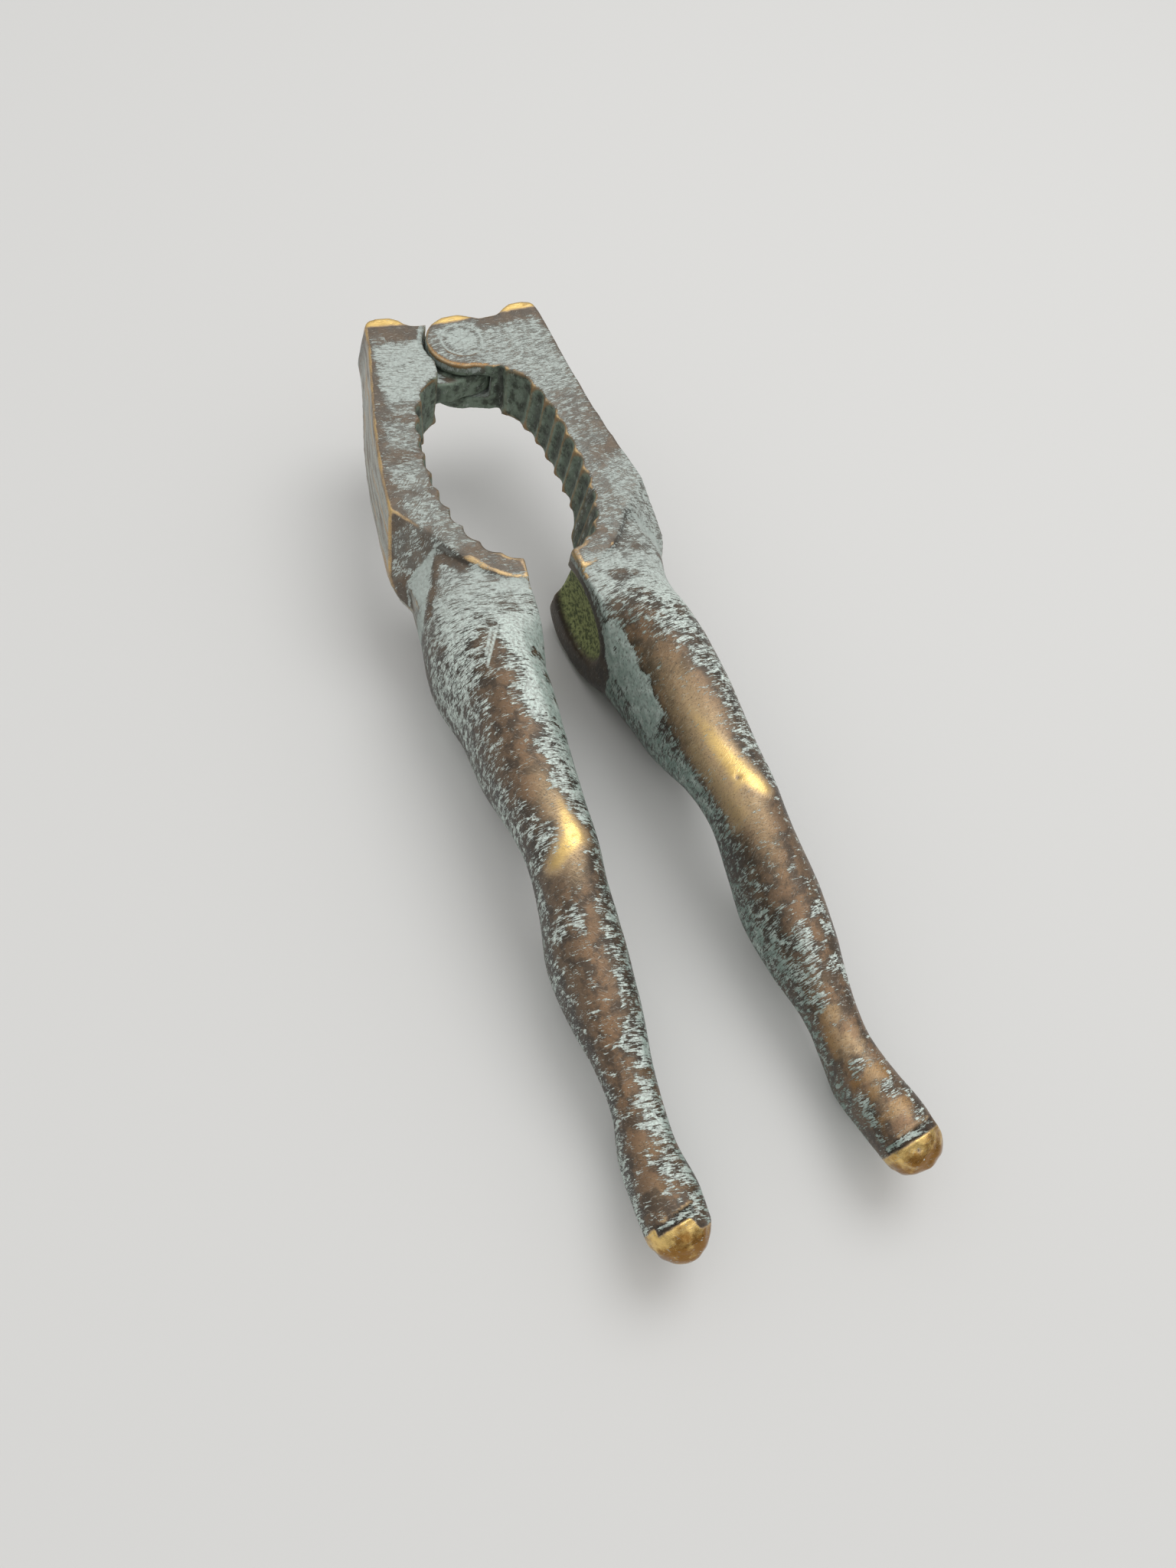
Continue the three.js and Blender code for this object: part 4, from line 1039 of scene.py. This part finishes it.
def bare_metal(k, at):
    """Brown bronze, coppery where handled and with a painted sheen along the fronts of the legs, bright
    brass where worn through.
    """
    metal = k.mix(k.ramp(at.tone, *BROWN_TONE), BROWN_DARK, BROWN)
    metal = k.mix(k.times(k.ramp(at.scratch, *COPPER_SCRATCH), COPPER_SHARE), metal, COPPER)
    # Coppery metal with a painted sheen along the fronts of the legs
    metal = k.mix(k.times(at.copper_sheen, k.ramp(at.tone, *COPPER_TONE)), metal, COPPER)
    metal = k.mix(k.times(at.aged, k.ramp(at.tone, *AGED_TONE)), metal, AGED)
    lengthwise = k.noise(k.scaled(at.place, STREAK_SCALE), *STREAK_GRAIN)
    streaked = k.mix(k.ramp(lengthwise, *STREAK_GREY), BROWN, PALE_GREY)
    streaked = k.mix(k.ramp(lengthwise, *STREAK_GILT), streaked, GILT)
    metal = k.mix(k.times(at.streak, STREAK_SHARE), metal, streaked)
    metal = k.mix(at.orange, metal, ORANGE)
    metal = k.mix(k.ramp(at.wear, *WEAR_GILT), metal, GILT)
    metal = k.mix(k.ramp(k.noise(at.place, *PORES), *PORE_DIRT), metal, DIRT)
    stain = k.plus(k.times(at.tarnish, STAIN), at.cloud)
    brass = k.mix(k.ramp(stain, *STAIN_AMBER), BRASS, AMBER)
    return k.mix(k.ramp(at.wear, *WEAR_BRASS), metal, brass)


def dirty_and_shaded_metal(k, at):
    """Verdigris on the jaws and in the hinge, brown crests on the ridges, grime with painted shade, and
    scratches.
    """
    rust = k.mix(k.ramp(at.cloud, *RUST_GREEN), VERDIGRIS_DARK, VERDIGRIS)
    rust = k.mix(k.ramp(at.mottle, *RUST_TEAL), rust, TEAL)
    rust = k.mix(k.times(at.crest, CREST_SHARE), rust, CREST)
    metal = k.mix(at.dirty, bare_metal(k, at), rust)
    # Near-black grime, and painted shade on the shanks' sides, under the lip and deep between the legs
    metal = k.mix(k.times(at.grime, k.ramp(at.wear, *WORN_GRIME_AND_SHADE)), metal, GRIME_AND_SHADE)
    return k.mix(k.ramp(at.scratch, *GREY_SCRATCH), metal, PALE_GREY)


def covered_colour(k, at, cover):
    """Pale grey to teal deposit over dirt and metal, and speckled moss in the hollow."""
    deposit = k.mix(k.ramp(k.noise(at.place, *FLECK), *FLECK_PALE), PALE_GREY, PALE)
    deposit = k.mix(k.times(at.teal, k.ramp(at.cloud, *CLOUD_TEAL)), deposit, TEAL)
    deposit = k.mix(k.times(at.aged, FRAME_FILM), deposit, FILM)
    metal = dirty_and_shaded_metal(k, at)
    under = k.mix(k.times(k.ramp(at.pale, *PALE_DIRT), UNDER_DIRT), metal, DIRT)
    under = k.mix(k.times(at.aged, FRAME_CLEAN), under, metal)
    under = k.mix(k.times(at.aged, k.ramp(at.pale, *PALE_VEIL)), under, FILM)
    speckle = k.mix(k.ramp(at.mottle, *MOSS_SPECKLE), MOSS_DARK, MOSS)
    return k.mix(at.moss, k.mix(cover, under, deposit), speckle)


def relief(k, at, over):
    """Fine relief of the patina, scratches and moss."""
    height = k.times(k.ramp(over, *RELIEF_EDGE), BUMP_PATINA)
    height = k.plus(height, k.times(at.scratch, BUMP_SCRATCH))
    height = k.plus(height, k.times(at.mottle, k.blend(at.moss, *BUMP_ROUGH)))
    inputs = {"Strength": BUMP_STRENGTH, "Distance": BUMP_DISTANCE, "Height": height}
    return k.make("ShaderNodeBump", inputs).outputs["Normal"]


def table_material():
    k = Nodes(bpy.data.materials.new("pale_table"))
    inputs = {"Base Color": (*FLOOR, 1.0), "Roughness": TABLE_ROUGHNESS}
    k.feed(k.tree.nodes["Principled BSDF"], inputs)
    return k.owner


bronze = bronze_material()
pieces = (
    (build_leg("right_leg_casting", "right_leg", RIGHT), "right_leg", "right_leg_body", "patinated_bronze"),
    (build_leg("left_leg_casting", "left_leg", LEFT), "left_leg", "left_leg_body", "patinated_bronze"),
    (build_rivet("peened_rivet"), "hinge_rivet", "right_leg_body", "worn_brass"),
)
for piece, node, body, slot in pieces:
    piece.data.materials.clear()
    piece.data.materials.append(bronze)
    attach(piece, body)
    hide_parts(node)

# Table
corners = [(-TABLE_HALF, -TABLE_HALF, 0), (TABLE_HALF, -TABLE_HALF, 0),
           (TABLE_HALF, TABLE_HALF, 0), (-TABLE_HALF, TABLE_HALF, 0)]
table_mesh = bpy.data.meshes.new("table")
table_mesh.from_pydata(corners, [], [(0, 1, 2, 3)])
table_mesh.materials.append(table_material())
table = bpy.data.objects.new("table", table_mesh)
bpy.context.scene.collection.objects.link(table)

# Light: a soft dome, brighter overhead, and one large lamp
scene = bpy.context.scene
sky = Nodes(bpy.data.worlds.new("studio"))
scene.world = sky.owner
direction = sky.make("ShaderNodeTexCoord", {}).outputs["Generated"]
height = sky.make("ShaderNodeSeparateXYZ", {0: direction}).outputs["Z"]
dome = sky.make("ShaderNodeMapRange", {"Value": height, "To Min": HORIZON, "To Max": ZENITH})
inputs = {"Color": (*SKY, 1.0), "Strength": dome.outputs["Result"]}
sky.feed(sky.tree.nodes["Background"], inputs)

key = bpy.data.lights.new("key", "AREA")
key.shape = "DISK"
key.size = KEY_SIZE
key.energy = KEY_POWER
lamp = bpy.data.objects.new("key", key)
lamp.location = KEY_PLACE
lamp.rotation_mode = "QUATERNION"
lamp.rotation_quaternion = (Vector(KEY_AIM) - Vector(KEY_PLACE)).to_track_quat("-Z", "Y")
scene.collection.objects.link(lamp)

# Camera
lens = bpy.data.cameras.new("camera")
lens.sensor_width = SENSOR
lens.lens = CAMERA_LENS
lens.clip_start = CAMERA_NEAR
camera = bpy.data.objects.new("camera", lens)
scene.collection.objects.link(camera)
scene.camera = camera
stand = Matrix.Translation(Vector(CAMERA_PLACE) * MM) @ Quaternion(CAMERA_TURN).to_matrix().to_4x4()
camera.matrix_world = HINGE @ stand

scene.view_settings.view_transform = "Standard"
